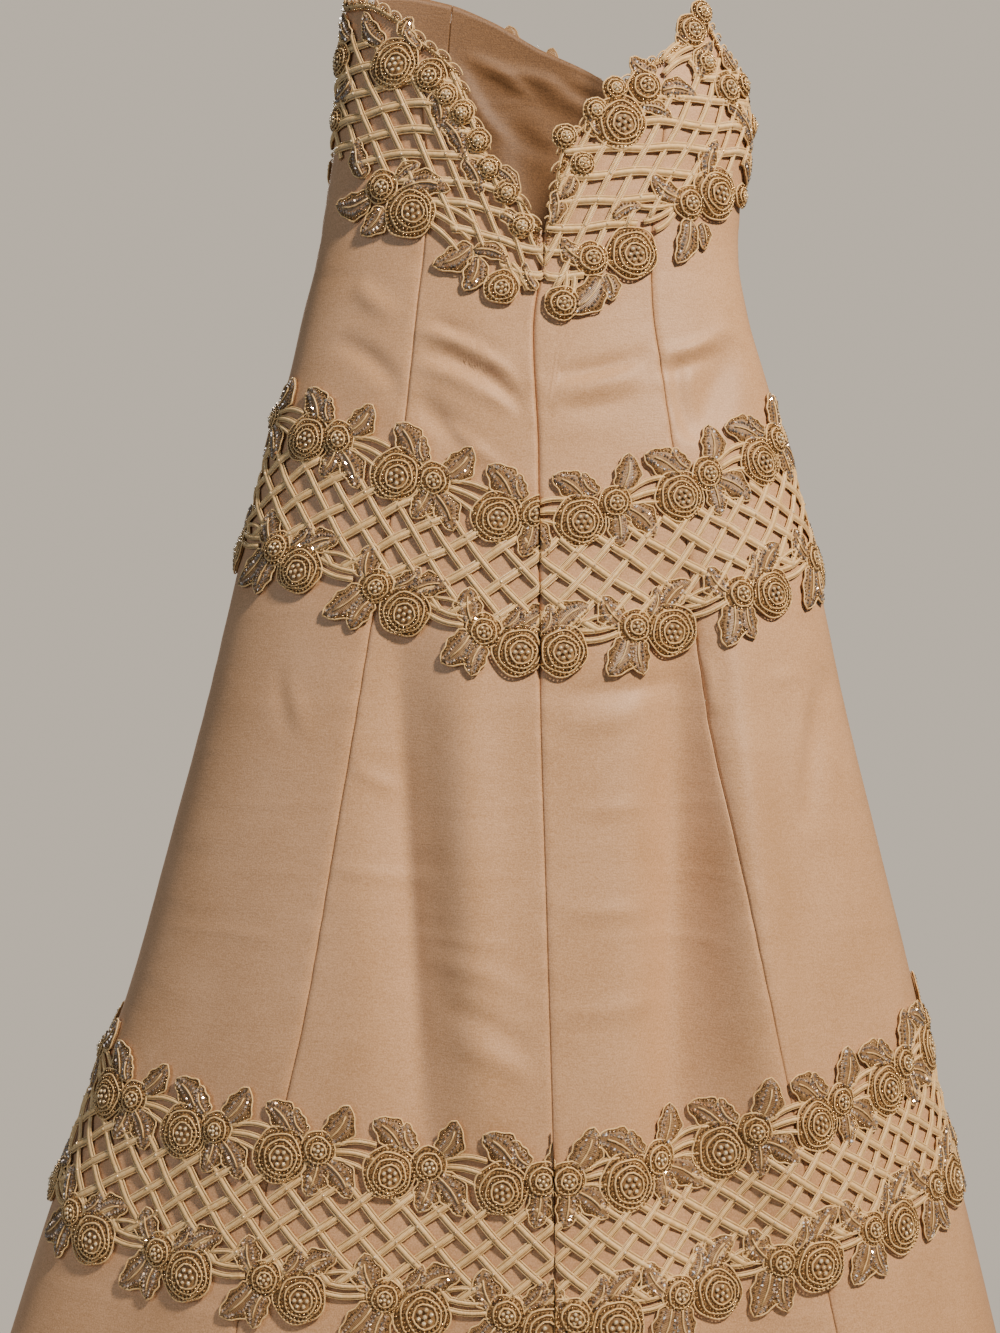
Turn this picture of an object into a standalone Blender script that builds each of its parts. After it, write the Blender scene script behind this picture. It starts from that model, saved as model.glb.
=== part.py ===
# A strapless A-line gown in satin with three bands of beaded cutwork lace, on a plain hanger.
# Metres, +Z up. The origin is where a rail touches the inside of the hanger's hook.
# The side with the deep V faces -Y. A level is given as its drop below the origin.
# An angle runs round the gown: 0 at the near centre, positive to the right seen from -Y,
# 180 at the far centre.

import math

import bmesh
import bpy
import numpy as np
from mathutils import Vector
from mathutils.geometry import delaunay_2d_cdt

for old in list(bpy.data.objects):
    bpy.data.objects.remove(old, do_unlink=True)

MM = 0.001
HEM_DROP = 1.625
SATIN_WALL = 1.5 * MM
LINING_WALL = 1.0 * MM
LACE_WALL = 1.5 * MM
SEAM_GAP = 0.3 * MM
BODY_Y = 25 * MM
FAR_FLATNESS = 0.90
# Small steps either side of a point, down and round, that give the cloth's direction there
PROBE = 0.5 * MM
PROBE_ANGLE = 0.2
SHARP_ANGLE = math.radians(40)

# Half sizes of the gown's section: drop, left, right, near, far
BODY = [
    (0.190, 0.158, 0.160, 0.060, 0.058),
    (0.250, 0.167, 0.165, 0.068, 0.064),
    (0.300, 0.171, 0.173, 0.074, 0.067),
    (0.345, 0.174, 0.177, 0.077, 0.068),
    (0.400, 0.182, 0.170, 0.077, 0.068),
    (0.440, 0.188, 0.168, 0.077, 0.068),
    (0.490, 0.200, 0.175, 0.080, 0.070),
    (0.550, 0.214, 0.192, 0.087, 0.075),
    (0.620, 0.232, 0.211, 0.096, 0.082),
    (0.710, 0.256, 0.234, 0.107, 0.090),
    (0.820, 0.282, 0.257, 0.121, 0.101),
    (0.940, 0.314, 0.286, 0.138, 0.113),
    (1.063, 0.348, 0.316, 0.155, 0.126),
    (1.140, 0.376, 0.333, 0.165, 0.133),
    (1.260, 0.418, 0.363, 0.179, 0.144),
    (1.360, 0.449, 0.387, 0.190, 0.153),
    (1.625, 0.532, 0.449, 0.212, 0.175),
]

# The upper edge: angle, drop
TOP_EDGE = [
    (-180, 0.248),
    (-165, 0.225),
    (-150, 0.212),
    (-135, 0.208),
    (-105, 0.220),
    (-75, 0.236),
    (-60, 0.240),
    (-45, 0.257),
    (-36, 0.277),
    (-25, 0.303),
    (-18, 0.348),
    (-13, 0.385),
    (-6, 0.408),
    (0.5, 0.438),
    (3, 0.420),
    (6, 0.369),
    (13, 0.347),
    (28, 0.303),
    (40, 0.285),
    (52, 0.250),
    (63, 0.283),
    (80, 0.302),
    (92, 0.330),
    (120, 0.325),
    (150, 0.296),
    (165, 0.268),
    (180, 0.248),
]

# Where the panels meet: drop, then the angle of each seam
SEAMS = [
    (0.20, 0.5, -42.0, 38.0, -90, 90, -152, 152),
    (0.44, 0.5, -30.5, 32.5, -90, 90, -150, 150),
    (0.52, -2.0, -30.2, 30.6, -90, 90, -150, 150),
    (0.62, -0.8, -29.6, 30.5, -90, 90, -149, 149),
    (0.80, -0.5, -31.5, 30.8, -90, 90, -149, 149),
    (1.00, 0.5, -32.3, 32.5, -90, 90, -148, 148),
    (1.20, 1.2, -33.0, 36.0, -90, 90, -148, 148),
    (1.63, 1.5, -35.0, 40.0, -90, 90, -147, 147),
]
CENTRE, LEFT_PRINCESS, RIGHT_PRINCESS, LEFT_SIDE, RIGHT_SIDE, FAR_LEFT, FAR_RIGHT = range(1, 8)

# Soft folds: angle above, angle at the hem, drop where it starts, half width in degrees, height at the hem
FOLDS = [
    (-70, -74, 0.90, 10, 0.012),
    (-50, -51, 0.80, 9, -0.014),
    (-20, -8, 0.76, 9, -0.015),
    (4, 8, 0.95, 9, 0.010),
    (25, 23, 0.76, 8, -0.018),
    (41, 43, 0.85, 9, 0.012),
    (60, 62, 0.90, 9, -0.014),
    (112, 112, 0.95, 10, -0.014),
    (133, 133, 0.80, 10, 0.014),
    (158, 160, 0.75, 10, -0.018),
    (182, 180, 0.80, 10, 0.012),
    (204, 203, 0.75, 10, -0.016),
    (226, 227, 0.80, 10, 0.014),
    (246, 247, 0.95, 10, -0.013),
]

FOLD_GROWTH = 1.9
FOLD_LIMIT = 1.1

# Name, seam on the left, seam on the right, added to the right seam's angle, columns,
# and how closely the columns crowd towards the left seam, or the right one where it is below zero
PANELS = [
    ("back_side_left", FAR_LEFT, LEFT_SIDE, 0, 7, -1.4),
    ("front_side_left", LEFT_SIDE, LEFT_PRINCESS, 0, 8, 1.35),
    ("front_centre_left", LEFT_PRINCESS, CENTRE, 0, 5, -1.4),
    ("front_centre_right", CENTRE, RIGHT_PRINCESS, 0, 5, 1.7),
    ("front_side_right", RIGHT_PRINCESS, RIGHT_SIDE, 0, 8, -1.35),
    ("back_side_right", RIGHT_SIDE, FAR_RIGHT, 0, 7, 1.4),
    ("back_centre", FAR_RIGHT, FAR_LEFT, 360, 7, 1.0),
]
PANEL_ROWS = 20
ROW_CROWDING = 1.3
# The upper edge and the seams depend on each other, so a panel's points settle in a few rounds
FIRST_TOP = 0.25
SETTLING_ROUNDS = 12
# The lining hangs inside the far panels, down past what the V shows
LININGS = [("lining_left", 0), ("lining_centre", 6), ("lining_right", 5)]
LINING_ROWS = 8

# Centre lines of the three bands: angle, drop
NECK_LINE = [
    (-180, 0.336),
    (-150, 0.312),
    (-120, 0.305),
    (-90, 0.312),
    (-60, 0.338),
    (-36, 0.358),
    (-22, 0.378),
    (-10, 0.402),
    (0.5, 0.428),
    (9, 0.419),
    (22, 0.400),
    (38, 0.378),
    (52, 0.364),
    (70, 0.338),
    (90, 0.314),
    (120, 0.318),
    (150, 0.345),
    (180, 0.336),
]
HIP_LINE = [
    (-180, 0.642),
    (-90, 0.642),
    (-60, 0.653),
    (-31, 0.686),
    (-10, 0.722),
    (-0.5, 0.730),
    (7, 0.727),
    (28, 0.708),
    (50, 0.682),
    (75, 0.660),
    (90, 0.654),
    (180, 0.642),
]
LOW_LINE = [
    (-180, 1.158),
    (-90, 1.170),
    (-70, 1.192),
    (-50, 1.210),
    (-26, 1.226),
    (-12, 1.236),
    (1.2, 1.244),
    (12, 1.236),
    (22, 1.220),
    (36, 1.204),
    (55, 1.183),
    (75, 1.163),
    (90, 1.150),
    (180, 1.158),
]

# Each band: line, angle of the near join, repeats on each half, stretch up and down,
# distance off the satin, how bare a diamond must be to be cut (share of a repeat),
# how far from the side seams the wall gets more points, in degrees,
# and the places of a big flower from the join, above and below, left half then right half
BANDS = {
    "neck": (NECK_LINE, 0.5, 5, 1.08, 2.6 * MM, 0.20, 60, (-0.100, -0.028), (0.072, 0.078)),
    "hip": (HIP_LINE, -0.5, 6, 1.04, 2.6 * MM, 0.28, 26, (-0.037, -0.016), (0.034, 0.016)),
    "low": (LOW_LINE, 1.2, 10, 1.03, 2.8 * MM, 0.33, 20, (-0.042, -0.007), (0.060, 0.044)),
}

# One border of the trim over a repeat: distance from the big flower, height from the band's centre line
BORDER = [
    (-22 * MM, 58 * MM),
    (-13 * MM, 69 * MM),
    (2 * MM, 72 * MM),
    (12 * MM, 82 * MM),
    (21 * MM, 68 * MM),
    (32 * MM, 67 * MM),
    (43 * MM, 78 * MM),
    (50 * MM, 61 * MM),
    (59 * MM, 50 * MM),
]
BIG_FLOWER = (0.0, 50 * MM, 18 * MM)
SMALL_FLOWER = (29 * MM, 53 * MM)
BIG_RING = 5
RING_RISE = 2.2 * MM
BIG_RISE = 4.5 * MM
SMALL_RISE = 3.2 * MM
DIAMONDS_A_REPEAT = 4
TRELLIS_ANGLE = math.radians(40)
CORD_WIDTH = 5 * MM
EDGE_LAP = 3 * MM
END_MARGIN = 4 * MM
END_HEIGHT = 58 * MM
END_STEPS = (-30 * MM, 0.0, 30 * MM)
RULER_STEPS = 500
# Over the deep V the neck band's border has closer points
V_HALF = 70 * MM
V_STEP = 6 * MM
SCALLOPS_A_REPEAT = 4
STAY_STEP = 10 * MM
STAY_HEIGHTS = (-60 * MM, -30 * MM, 30 * MM, 60 * MM)

HANGER_HALF = 0.205
HANGER_TOP = 0.066
HANGER_FALL = 0.058
HANGER_THICK = 0.012
HANGER_TALL = 0.020
HANGER_STATIONS = 19
HANGER_SIDES = 8
HANGER_TAPER = 0.35
# The flat sides of the bar are this far out, as a share of its corners
HANGER_FLAT = math.cos(math.pi / HANGER_SIDES)
HOOK_RADIUS = 0.022
HOOK_WIRE = 1.9 * MM
# The wire leaves its shank, bends aside, and goes round from the first turn in equal steps, in degrees
HOOK_BEND = (2 * MM, 8 * MM)
HOOK_FIRST_TURN = -62
HOOK_TURN_STEP = 19
HOOK_TURNS = 15
LOOP_WIDTH = 5 * MM
LOOP_THICK = 1.0 * MM
LOOP_ANGLES = {"loop_left": -58, "loop_right": 51}
LOOP_HOLD = 0.022
LOOP_CLEAR = 6.2 * MM
# The ribbon's two runs part from the foot, spread below the bar and arch over it
LOOP_FOOT = 0.8 * MM
LOOP_SPREAD = (0.6, 30 * MM)
LOOP_ARCH = (0.30, 3.0 * MM, 0.25)
LOOP_ARCH_STEPS = 6


def through(rows, column, at):
    """A smooth curve through a table's rows that never overshoots them."""
    places = np.array([row[0] for row in rows], dtype=float)
    values = np.array([row[column] for row in rows], dtype=float)
    step = np.diff(places)
    rate = np.diff(values) / step
    slope = np.zeros(len(places))
    same_way = rate[:-1] * rate[1:] > 0
    both = np.where(same_way, rate[:-1] + rate[1:], 1.0)
    slope[1:-1] = np.where(same_way, 2 * rate[:-1] * rate[1:] / both, 0.0)
    slope[0] = rate[0]
    slope[-1] = rate[-1]
    at = np.clip(at, places[0], places[-1])
    i = np.clip(np.searchsorted(places, at) - 1, 0, len(step) - 1)
    f = (at - places[i]) / step[i]
    rise = values[i] * (1 + 2 * f) * (1 - f) ** 2 + values[i + 1] * f * f * (3 - 2 * f)
    bend = step[i] * f * (1 - f) * (slope[i] * (1 - f) - slope[i + 1] * f)
    return rise + bend


def turned(angle):
    """The same angle between -180 and 180."""
    return (np.asarray(angle, dtype=float) + 180) % 360 - 180


def fold_height(angle, drop):
    """How far the soft folds push the cloth out."""
    height = np.zeros(np.broadcast(angle, drop).shape)
    for above, below, start, half_width, rise in FOLDS:
        grown = np.clip((drop - start) / (HEM_DROP - start), 0, FOLD_LIMIT)
        middle = above + (below - above) * grown
        away = turned(angle - middle) / half_width
        height = height + rise * grown**FOLD_GROWTH * np.exp(-away * away)
    return height


def plain_point(angle, drop):
    """The satin's outer surface: an ellipse at each level, flatter on the far side, with its folds."""
    around = np.radians(turned(angle))
    width = np.where(around < 0, through(BODY, 1, drop), through(BODY, 2, drop))
    near = through(BODY, 3, drop)
    far = through(BODY, 4, drop)
    sine = np.sin(around)
    cosine = np.cos(around)
    depth = np.where(cosine > 0, near, far)
    x = width * sine
    y = np.where(cosine > 0, -near * cosine, far * np.abs(cosine) ** FAR_FLATNESS)
    out_x = sine / width
    out_y = -cosine / depth
    size = np.hypot(out_x, out_y)
    push = fold_height(angle, drop)
    return np.stack([x + push * out_x / size, y + push * out_y / size + BODY_Y, -drop + 0 * x], axis=-1)


def gown_point(angle, drop, out=0.0):
    """A point on the satin, moved out along its normal."""
    angle, drop, out = np.broadcast_arrays(
        np.asarray(angle, dtype=float), np.asarray(drop, dtype=float), np.asarray(out, dtype=float)
    )
    across = plain_point(angle + PROBE_ANGLE, drop) - plain_point(angle - PROBE_ANGLE, drop)
    upward = plain_point(angle, drop - PROBE) - plain_point(angle, drop + PROBE)
    normal = np.cross(across, upward)
    normal /= np.linalg.norm(normal, axis=-1, keepdims=True)
    return plain_point(angle, drop) + normal * out[..., None]


def top_drop(angle):
    return through(TOP_EDGE, 1, turned(angle))


def finish(name, colour, roughness, metallic=0.0):
    """A material with one Principled BSDF."""
    material = bpy.data.materials.new(name)
    material.use_nodes = True
    shader = material.node_tree.nodes["Principled BSDF"]
    shader.inputs["Base Color"].default_value = (*colour, 1.0)
    shader.inputs["Roughness"].default_value = roughness
    shader.inputs["Metallic"].default_value = metallic
    material.diffuse_color = (*colour, 1.0)
    return material


SATIN = ((0.60, 0.37, 0.24), 0.42)
LINING = ((0.36, 0.20, 0.11), 0.50)
LACE = ((0.66, 0.46, 0.27), 0.55)
RIBBON = ((0.62, 0.60, 0.56), 0.35)
VARNISHED_WOOD = ((0.42, 0.27, 0.15), 0.40)
STEEL_WIRE = ((0.70, 0.70, 0.70), 0.25, 1.0)


def add_object(name, verts, faces, look):
    """A closed mesh with its faces out, as one named object with its own material."""
    mesh = bpy.data.meshes.new(name)
    mesh.from_pydata([tuple(map(float, v)) for v in verts], [], faces)
    work = bmesh.new()
    work.from_mesh(mesh)
    bmesh.ops.recalc_face_normals(work, faces=work.faces)
    work.to_mesh(mesh)
    work.free()
    mesh.shade_smooth()
    mesh.set_sharp_from_angle(angle=SHARP_ANGLE)
    thing = bpy.data.objects.new(name, mesh)
    thing.data.materials.append(finish(name, *look))
    bpy.context.scene.collection.objects.link(thing)
    return thing


def wall_mesh(outer, inner):
    """Vertices and faces of a wall between two grids of points of the same size."""
    rows, columns = outer.shape[:2]
    verts = np.concatenate([outer.reshape(-1, 3), inner.reshape(-1, 3)])
    back = rows * columns

    def at(row, column):
        return row * columns + column

    faces = []
    for row in range(rows - 1):
        for column in range(columns - 1):
            a, b = at(row, column), at(row, column + 1)
            c, d = at(row + 1, column + 1), at(row + 1, column)
            for corners in ((a, d, c), (a, c, b)):
                faces.append(corners)
                faces.append(tuple(corner + back for corner in reversed(corners)))
    rim = [at(0, column) for column in range(columns)]
    rim += [at(row, columns - 1) for row in range(1, rows)]
    rim += [at(rows - 1, column) for column in range(columns - 2, -1, -1)]
    rim += [at(row, 0) for row in range(rows - 2, 0, -1)]
    for a, b in zip(rim, rim[1:] + rim[:1]):
        faces.append((a, b, b + back, a + back))
    return verts, faces


def shares(columns, crowding):
    """How far across a panel each of its columns stands, from 0 to 1."""
    even = np.linspace(0, 1, columns + 1)
    return even**crowding if crowding > 0 else 1 - (1 - even) ** -crowding


ROW_SHARES = np.linspace(0, 1, PANEL_ROWS + 1) ** ROW_CROWDING


def panel_grid(left_seam, right_seam, turn, columns, crowding):
    """Angles and drops of a panel's points, from its upper edge to the hem, inside its seams."""
    across = shares(columns, crowding)[None, :]
    down = ROW_SHARES[:, None]
    drop = FIRST_TOP + down * (HEM_DROP - FIRST_TOP) + 0 * across
    for _ in range(SETTLING_ROUNDS):
        left = through(SEAMS, left_seam, drop)
        right = through(SEAMS, right_seam, drop) + turn
        angle = left + (right - left) * across
        top = top_drop(angle[:1])
        drop = top + down * (HEM_DROP - top)
    near_by = plain_point(angle + PROBE_ANGLE, drop) - plain_point(angle - PROBE_ANGLE, drop)
    degrees = SEAM_GAP * PROBE_ANGLE / np.linalg.norm(near_by, axis=-1)
    return angle + degrees * (1 - 2 * across), drop


def make_panels():
    for name, *cut in PANELS:
        angle, drop = panel_grid(*cut)
        outer = gown_point(angle, drop)
        inner = gown_point(angle, drop, -SATIN_WALL)
        add_object(name, *wall_mesh(outer, inner), SATIN)


def between(grid, row, column):
    """A grid's value on the two flat triangles of each cell, or a little past them."""
    j = np.clip(np.floor(row).astype(int), 0, grid.shape[0] - 2)
    i = np.clip(np.floor(column).astype(int), 0, grid.shape[1] - 2)
    down = (row - j)[:, None]
    across = (column - i)[:, None]
    start, end = grid[j, i], grid[j + 1, i + 1]
    right, below = grid[j, i + 1], grid[j + 1, i]
    upper = start + (right - start) * across + (end - right) * down
    lower = start + (below - start) * down + (end - below) * across
    return np.where(across >= down, upper, lower)


def on_panels(angle, drop, out):
    """Points made from the panels' own points and moved out, so that what lies there clears their faces."""
    angle = turned(angle)
    places = np.zeros((len(angle), 3))
    for _, left_seam, right_seam, turn, columns, crowding in PANELS:
        grid_angle, grid_drop = panel_grid(left_seam, right_seam, turn, columns, crowding)
        surface = gown_point(grid_angle, grid_drop)
        normal = gown_point(grid_angle, grid_drop, 1.0) - surface
        left = through(SEAMS, left_seam, drop)
        right = through(SEAMS, right_seam, drop) + turn
        here = np.where((turn > 0) & (angle < 0), angle + 360, angle)
        share = (here - left) / (right - left)
        column = np.interp(share, shares(columns, crowding), np.arange(columns + 1))
        top = np.interp(column, np.arange(columns + 1), grid_drop[0])
        down = (drop - top) / (HEM_DROP - top)
        row = np.interp(down, ROW_SHARES, np.arange(PANEL_ROWS + 1))
        row = np.where(down < 0, down / ROW_SHARES[1], row)
        mine = (share >= 0) & (share <= 1)
        moved = between(surface, row, column) + between(normal, row, column) * out[:, None]
        places[mine] = moved[mine]
    return places


def make_lining():
    """Each lining piece is made from its panel's own points, moved in."""
    for name, panel in LININGS:
        angle, drop = panel_grid(*PANELS[panel][1:])
        angle = angle[: LINING_ROWS + 1]
        drop = drop[: LINING_ROWS + 1]
        outside = SATIN_WALL + SEAM_GAP
        outer = gown_point(angle, drop, -outside)
        inner = gown_point(angle, drop, -outside - LINING_WALL)
        add_object(name, *wall_mesh(outer, inner), LINING)


def band_ruler(line, join, side):
    """Angles along a band's centre line and the distance of each from the near join."""
    far_end = 180.0 if side > 0 else -180.0
    angle = np.linspace(join, far_end, RULER_STEPS)
    points = gown_point(angle, through(line, 1, angle))
    length = np.concatenate([[0], np.cumsum(np.linalg.norm(np.diff(points, axis=0), axis=1))])
    return angle, length * side


def inside(rows, u):
    """Height of an outline, given as points in order, at a distance along the band."""
    return float(np.interp(u, [row[0] for row in rows], [row[1] for row in rows]))


def border_points(phase, repeat, low_u, high_u, side_up):
    """A border's scallops within the half band; the lower border is the upper one turned round."""
    points = []
    count = int(2 * (high_u - low_u) / repeat) + 4
    for k in range(-count, count):
        for along, height in BORDER:
            u = phase + k * repeat + along * side_up
            if low_u + END_MARGIN < u < high_u - END_MARGIN:
                points.append((u, height * side_up))
    points.sort()
    points.insert(0, (low_u, END_HEIGHT * side_up))
    points.append((high_u, END_HEIGHT * side_up))
    return points


def neck_edge(low_u, high_u, u_to_angle, line, stretch, repeat):
    """The neck band's upper border laps a little over the satin's edge, in small scallops."""
    fine = np.arange(low_u, high_u, V_STEP)
    coarse = np.arange(low_u, high_u, repeat / SCALLOPS_A_REPEAT / 2)
    u = np.union1d(fine[np.abs(fine) < V_HALF], coarse[np.abs(coarse) >= V_HALF])
    u = u[(low_u + END_MARGIN < u) & (u < high_u - END_MARGIN)]
    u = np.concatenate([[low_u], u, [high_u]])
    angle = u_to_angle(u)
    height = (through(line, 1, angle) - top_drop(angle)) / stretch
    scallop = EDGE_LAP + EDGE_LAP * np.abs(np.sin(u / repeat * SCALLOPS_A_REPEAT * math.pi))
    return list(zip(u, height + scallop))


def flower_points(top, bottom, phases, repeat):
    """Raised points of the flowers: place along, height, rise."""
    raised = []
    low_u, high_u = top[0][0], top[-1][0]
    count = int(2 * (high_u - low_u) / repeat) + 4
    for side_up, phase in ((1, phases[0]), (-1, phases[1])):
        for k in range(-count, count):
            place = phase + k * repeat
            along, height, radius = BIG_FLOWER
            raised.append((place + along, height * side_up, BIG_RISE))
            for corner in range(BIG_RING):
                turn = 2 * math.pi * corner / BIG_RING
                ring_u = place + radius * math.cos(turn)
                raised.append((ring_u, height * side_up + radius * math.sin(turn), RING_RISE))
            along, height = SMALL_FLOWER
            raised.append((place + along * side_up, height * side_up, SMALL_RISE))
    return [point for point in raised if well_within(point, top, bottom)]


def well_within(point, top, bottom):
    """True for a point of the trim that is clear of its outline."""
    u, t = point[:2]
    if not top[0][0] + END_MARGIN < u < top[-1][0] - END_MARGIN:
        return False
    return inside(bottom, u) + END_MARGIN < t < inside(top, u) - END_MARGIN


def stay_points(top, bottom, u_to_angle, reach, taken):
    """Points that keep the wall close to the cloth where the sides turn sharply."""
    kept = []
    for u in np.arange(top[0][0], top[-1][0], STAY_STEP):
        if abs(abs(float(u_to_angle(u))) - 90) > reach:
            continue
        for t in STAY_HEIGHTS:
            near = min(math.hypot(u - p[0], t - p[1]) for p in taken)
            if near > END_MARGIN and well_within((u, t), top, bottom):
                kept.append((u, t))
    return kept


def trellis_gaps(top, bottom, phases, repeat, bare):
    """Corners of each diamond that is cut: the middle row, and the barest beside it."""
    half_u = repeat / DIAMONDS_A_REPEAT / 2
    half_t = half_u * math.tan(TRELLIS_ANGLE)
    cut_u = half_u - CORD_WIDTH / 2 / math.sin(TRELLIS_ANGLE)
    cut_t = half_t - CORD_WIDTH / 2 / math.cos(TRELLIS_ANGLE)
    low_u, high_u = top[0][0], top[-1][0]
    gaps = []
    for i in range(int(low_u / half_u) - 1, int(high_u / half_u) + 2):
        for j in (-1, 0, 1):
            u, t = i * half_u, j * half_t
            if (i + j) % 2 == 0:
                continue
            if not low_u + cut_u + END_MARGIN < u < high_u - cut_u - END_MARGIN:
                continue
            if inside(top, u) - END_MARGIN < t + cut_t:
                continue
            if min(inside(top, u - cut_u), inside(top, u + cut_u)) - END_MARGIN < t:
                continue
            if j:
                flowers = phases[0 if j > 0 else 1] + SMALL_FLOWER[0] / 2 * j
                away = abs((u - flowers + repeat / 2) % repeat - repeat / 2)
                if away < bare * repeat:
                    continue
            gaps.append([(u - cut_u, t), (u, t - cut_t), (u + cut_u, t), (u, t + cut_t)])
    return gaps


def triangles_of(points, loops, top, bottom, gaps):
    """Triangles that fill a flat outline with gaps in it. Points are in millimetres for the fill."""
    flat = [Vector((u / MM, t / MM)) for u, t in points]
    edges = [(a, b) for loop in loops for a, b in zip(loop, loop[1:] + loop[:1])]
    found = delaunay_2d_cdt(flat, edges, [], 0, 1e-6)
    names = [ids[0] for ids in found[3]]
    triangles = []
    for face in found[2]:
        corners = [names[v] for v in face]
        u = sum(points[c][0] for c in corners) / 3
        t = sum(points[c][1] for c in corners) / 3
        if not inside(bottom, u) < t < inside(top, u):
            continue
        in_gap = False
        for left, lower, right, upper in gaps:
            wide = (right[0] - left[0]) / 2
            tall = (upper[1] - lower[1]) / 2
            if abs(u - lower[0]) / wide + abs(t - left[1]) / tall < 1:
                in_gap = True
        if not in_gap:
            triangles.append(tuple(corners))
    return triangles


def lace_half(name, band, side):
    """Half of a band: a wall with scalloped borders, raised flowers and open diamonds."""
    line, join, repeats, stretch, off, bare, reach, left_phases, right_phases = BANDS[band]
    angles, lengths = band_ruler(line, join, side)
    whole = abs(lengths[-1])
    repeat = whole / repeats
    order = np.argsort(lengths)

    def u_to_angle(u):
        return np.interp(u, lengths[order], angles[order])

    low_u, high_u = (-whole + SEAM_GAP / 2, -SEAM_GAP / 2)
    if side > 0:
        low_u, high_u = (SEAM_GAP / 2, whole - SEAM_GAP / 2)
    phases = left_phases if side < 0 else right_phases
    bottom = border_points(phases[1], repeat, low_u, high_u, -1)
    if band == "neck":
        top = neck_edge(low_u, high_u, u_to_angle, line, stretch, repeat)
    else:
        top = border_points(phases[0], repeat, low_u, high_u, 1)
    gaps = trellis_gaps(top, bottom, phases, repeat, bare)
    raised = flower_points(top, bottom, phases, repeat)

    right_end = [(high_u, t) for t in END_STEPS if t < top[-1][1] - END_MARGIN]
    left_end = [(low_u, t) for t in END_STEPS[::-1] if t < top[0][1] - END_MARGIN]
    points = bottom + right_end + top[::-1] + left_end
    loops = [list(range(len(points)))]
    for gap in gaps:
        loops.append(list(range(len(points), len(points) + 4)))
        points = points + gap
    points = points + stay_points(top, bottom, u_to_angle, reach, points + raised)
    rim = len(points)
    all_points = points + [(u, t) for u, t, _ in raised]
    rises = np.array([0.0] * rim + [rise for _, _, rise in raised])
    outside = triangles_of(all_points, loops, top, bottom, gaps)
    within = triangles_of(points, loops, top, bottom, gaps)

    u = np.array([p[0] for p in all_points])
    t = np.array([p[1] for p in all_points])
    angle = u_to_angle(u)
    drop = through(line, 1, angle) - t * stretch
    outer = on_panels(angle, drop, off + LACE_WALL + rises)
    inner = on_panels(angle[:rim], drop[:rim], np.full(rim, off))
    count = len(all_points)
    faces = [tuple(face) for face in outside]
    faces += [tuple(corner + count for corner in reversed(face)) for face in within]
    for loop in loops:
        for a, b in zip(loop, loop[1:] + loop[:1]):
            faces.append((b, a, a + count, b + count))
    add_object(name, np.concatenate([outer, inner]), faces, LACE)
    return len(gaps)


def make_lace():
    cut = 0
    for band in BANDS:
        cut += lace_half(band + "_lace_left", band, -1)
        cut += lace_half(band + "_lace_right", band, 1)
    print("gaps cut through the lace:", cut)


def hanger_level(x):
    """Height of the hanger's upper edge: a soft slope to each end."""
    return -HANGER_TOP - HANGER_FALL * (np.abs(x) / HANGER_HALF) ** 1.5


def bar_tall(x):
    """Height of the bar's section, less towards its ends."""
    return HANGER_TALL * (1 - HANGER_TAPER * (abs(x) / HANGER_HALF) ** 3)


def make_hanger():
    """Rounded bars sloping from the middle, as rings along X."""
    stations = np.linspace(-HANGER_HALF, HANGER_HALF, HANGER_STATIONS)
    n = HANGER_SIDES
    turn = (np.arange(n) + 0.5) * 2 * math.pi / n
    verts = []
    for x in stations:
        tall = bar_tall(x)
        y = np.cos(turn) * HANGER_THICK / 2 / HANGER_FLAT
        z = hanger_level(x) - tall / 2 + np.sin(turn) * tall / 2 / HANGER_FLAT
        verts += [(x, a, b) for a, b in zip(y, z)]
    faces = []
    for ring in range(len(stations) - 1):
        for k in range(n):
            a, b = ring * n + k, ring * n + (k + 1) % n
            faces.append((a, b, b + n, a + n))
    faces.append(tuple(range(n)))
    faces.append(tuple(len(verts) - n + k for k in range(n)))
    add_object("hanger", verts, faces, VARNISHED_WOOD)


def make_hook():
    """Bent wire: a short shank, then most of a circle whose inner top is the origin."""
    centre = HOOK_WIRE - (HOOK_RADIUS + HOOK_WIRE)
    reach = HOOK_RADIUS + HOOK_WIRE
    aside, above = HOOK_BEND
    path = [(0, 0, -HANGER_TOP + SEAM_GAP), (0, 0, centre - reach - above), (aside, 0, centre - reach)]
    for step in range(HOOK_TURNS):
        turn = math.radians(HOOK_FIRST_TURN + step * HOOK_TURN_STEP)
        path.append((reach * math.cos(turn), 0, centre + reach * math.sin(turn)))
    curve = bpy.data.curves.new("hanger_hook", "CURVE")
    curve.dimensions = "3D"
    curve.bevel_depth = HOOK_WIRE
    curve.bevel_resolution = 2
    curve.use_fill_caps = True
    spline = curve.splines.new("POLY")
    spline.points.add(len(path) - 1)
    for point, place in zip(spline.points, path):
        point.co = (*place, 1)
    thing = bpy.data.objects.new("hanger_hook", curve)
    curve.materials.append(finish("hanger_hook", *STEEL_WIRE))
    bpy.context.scene.collection.objects.link(thing)


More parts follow.
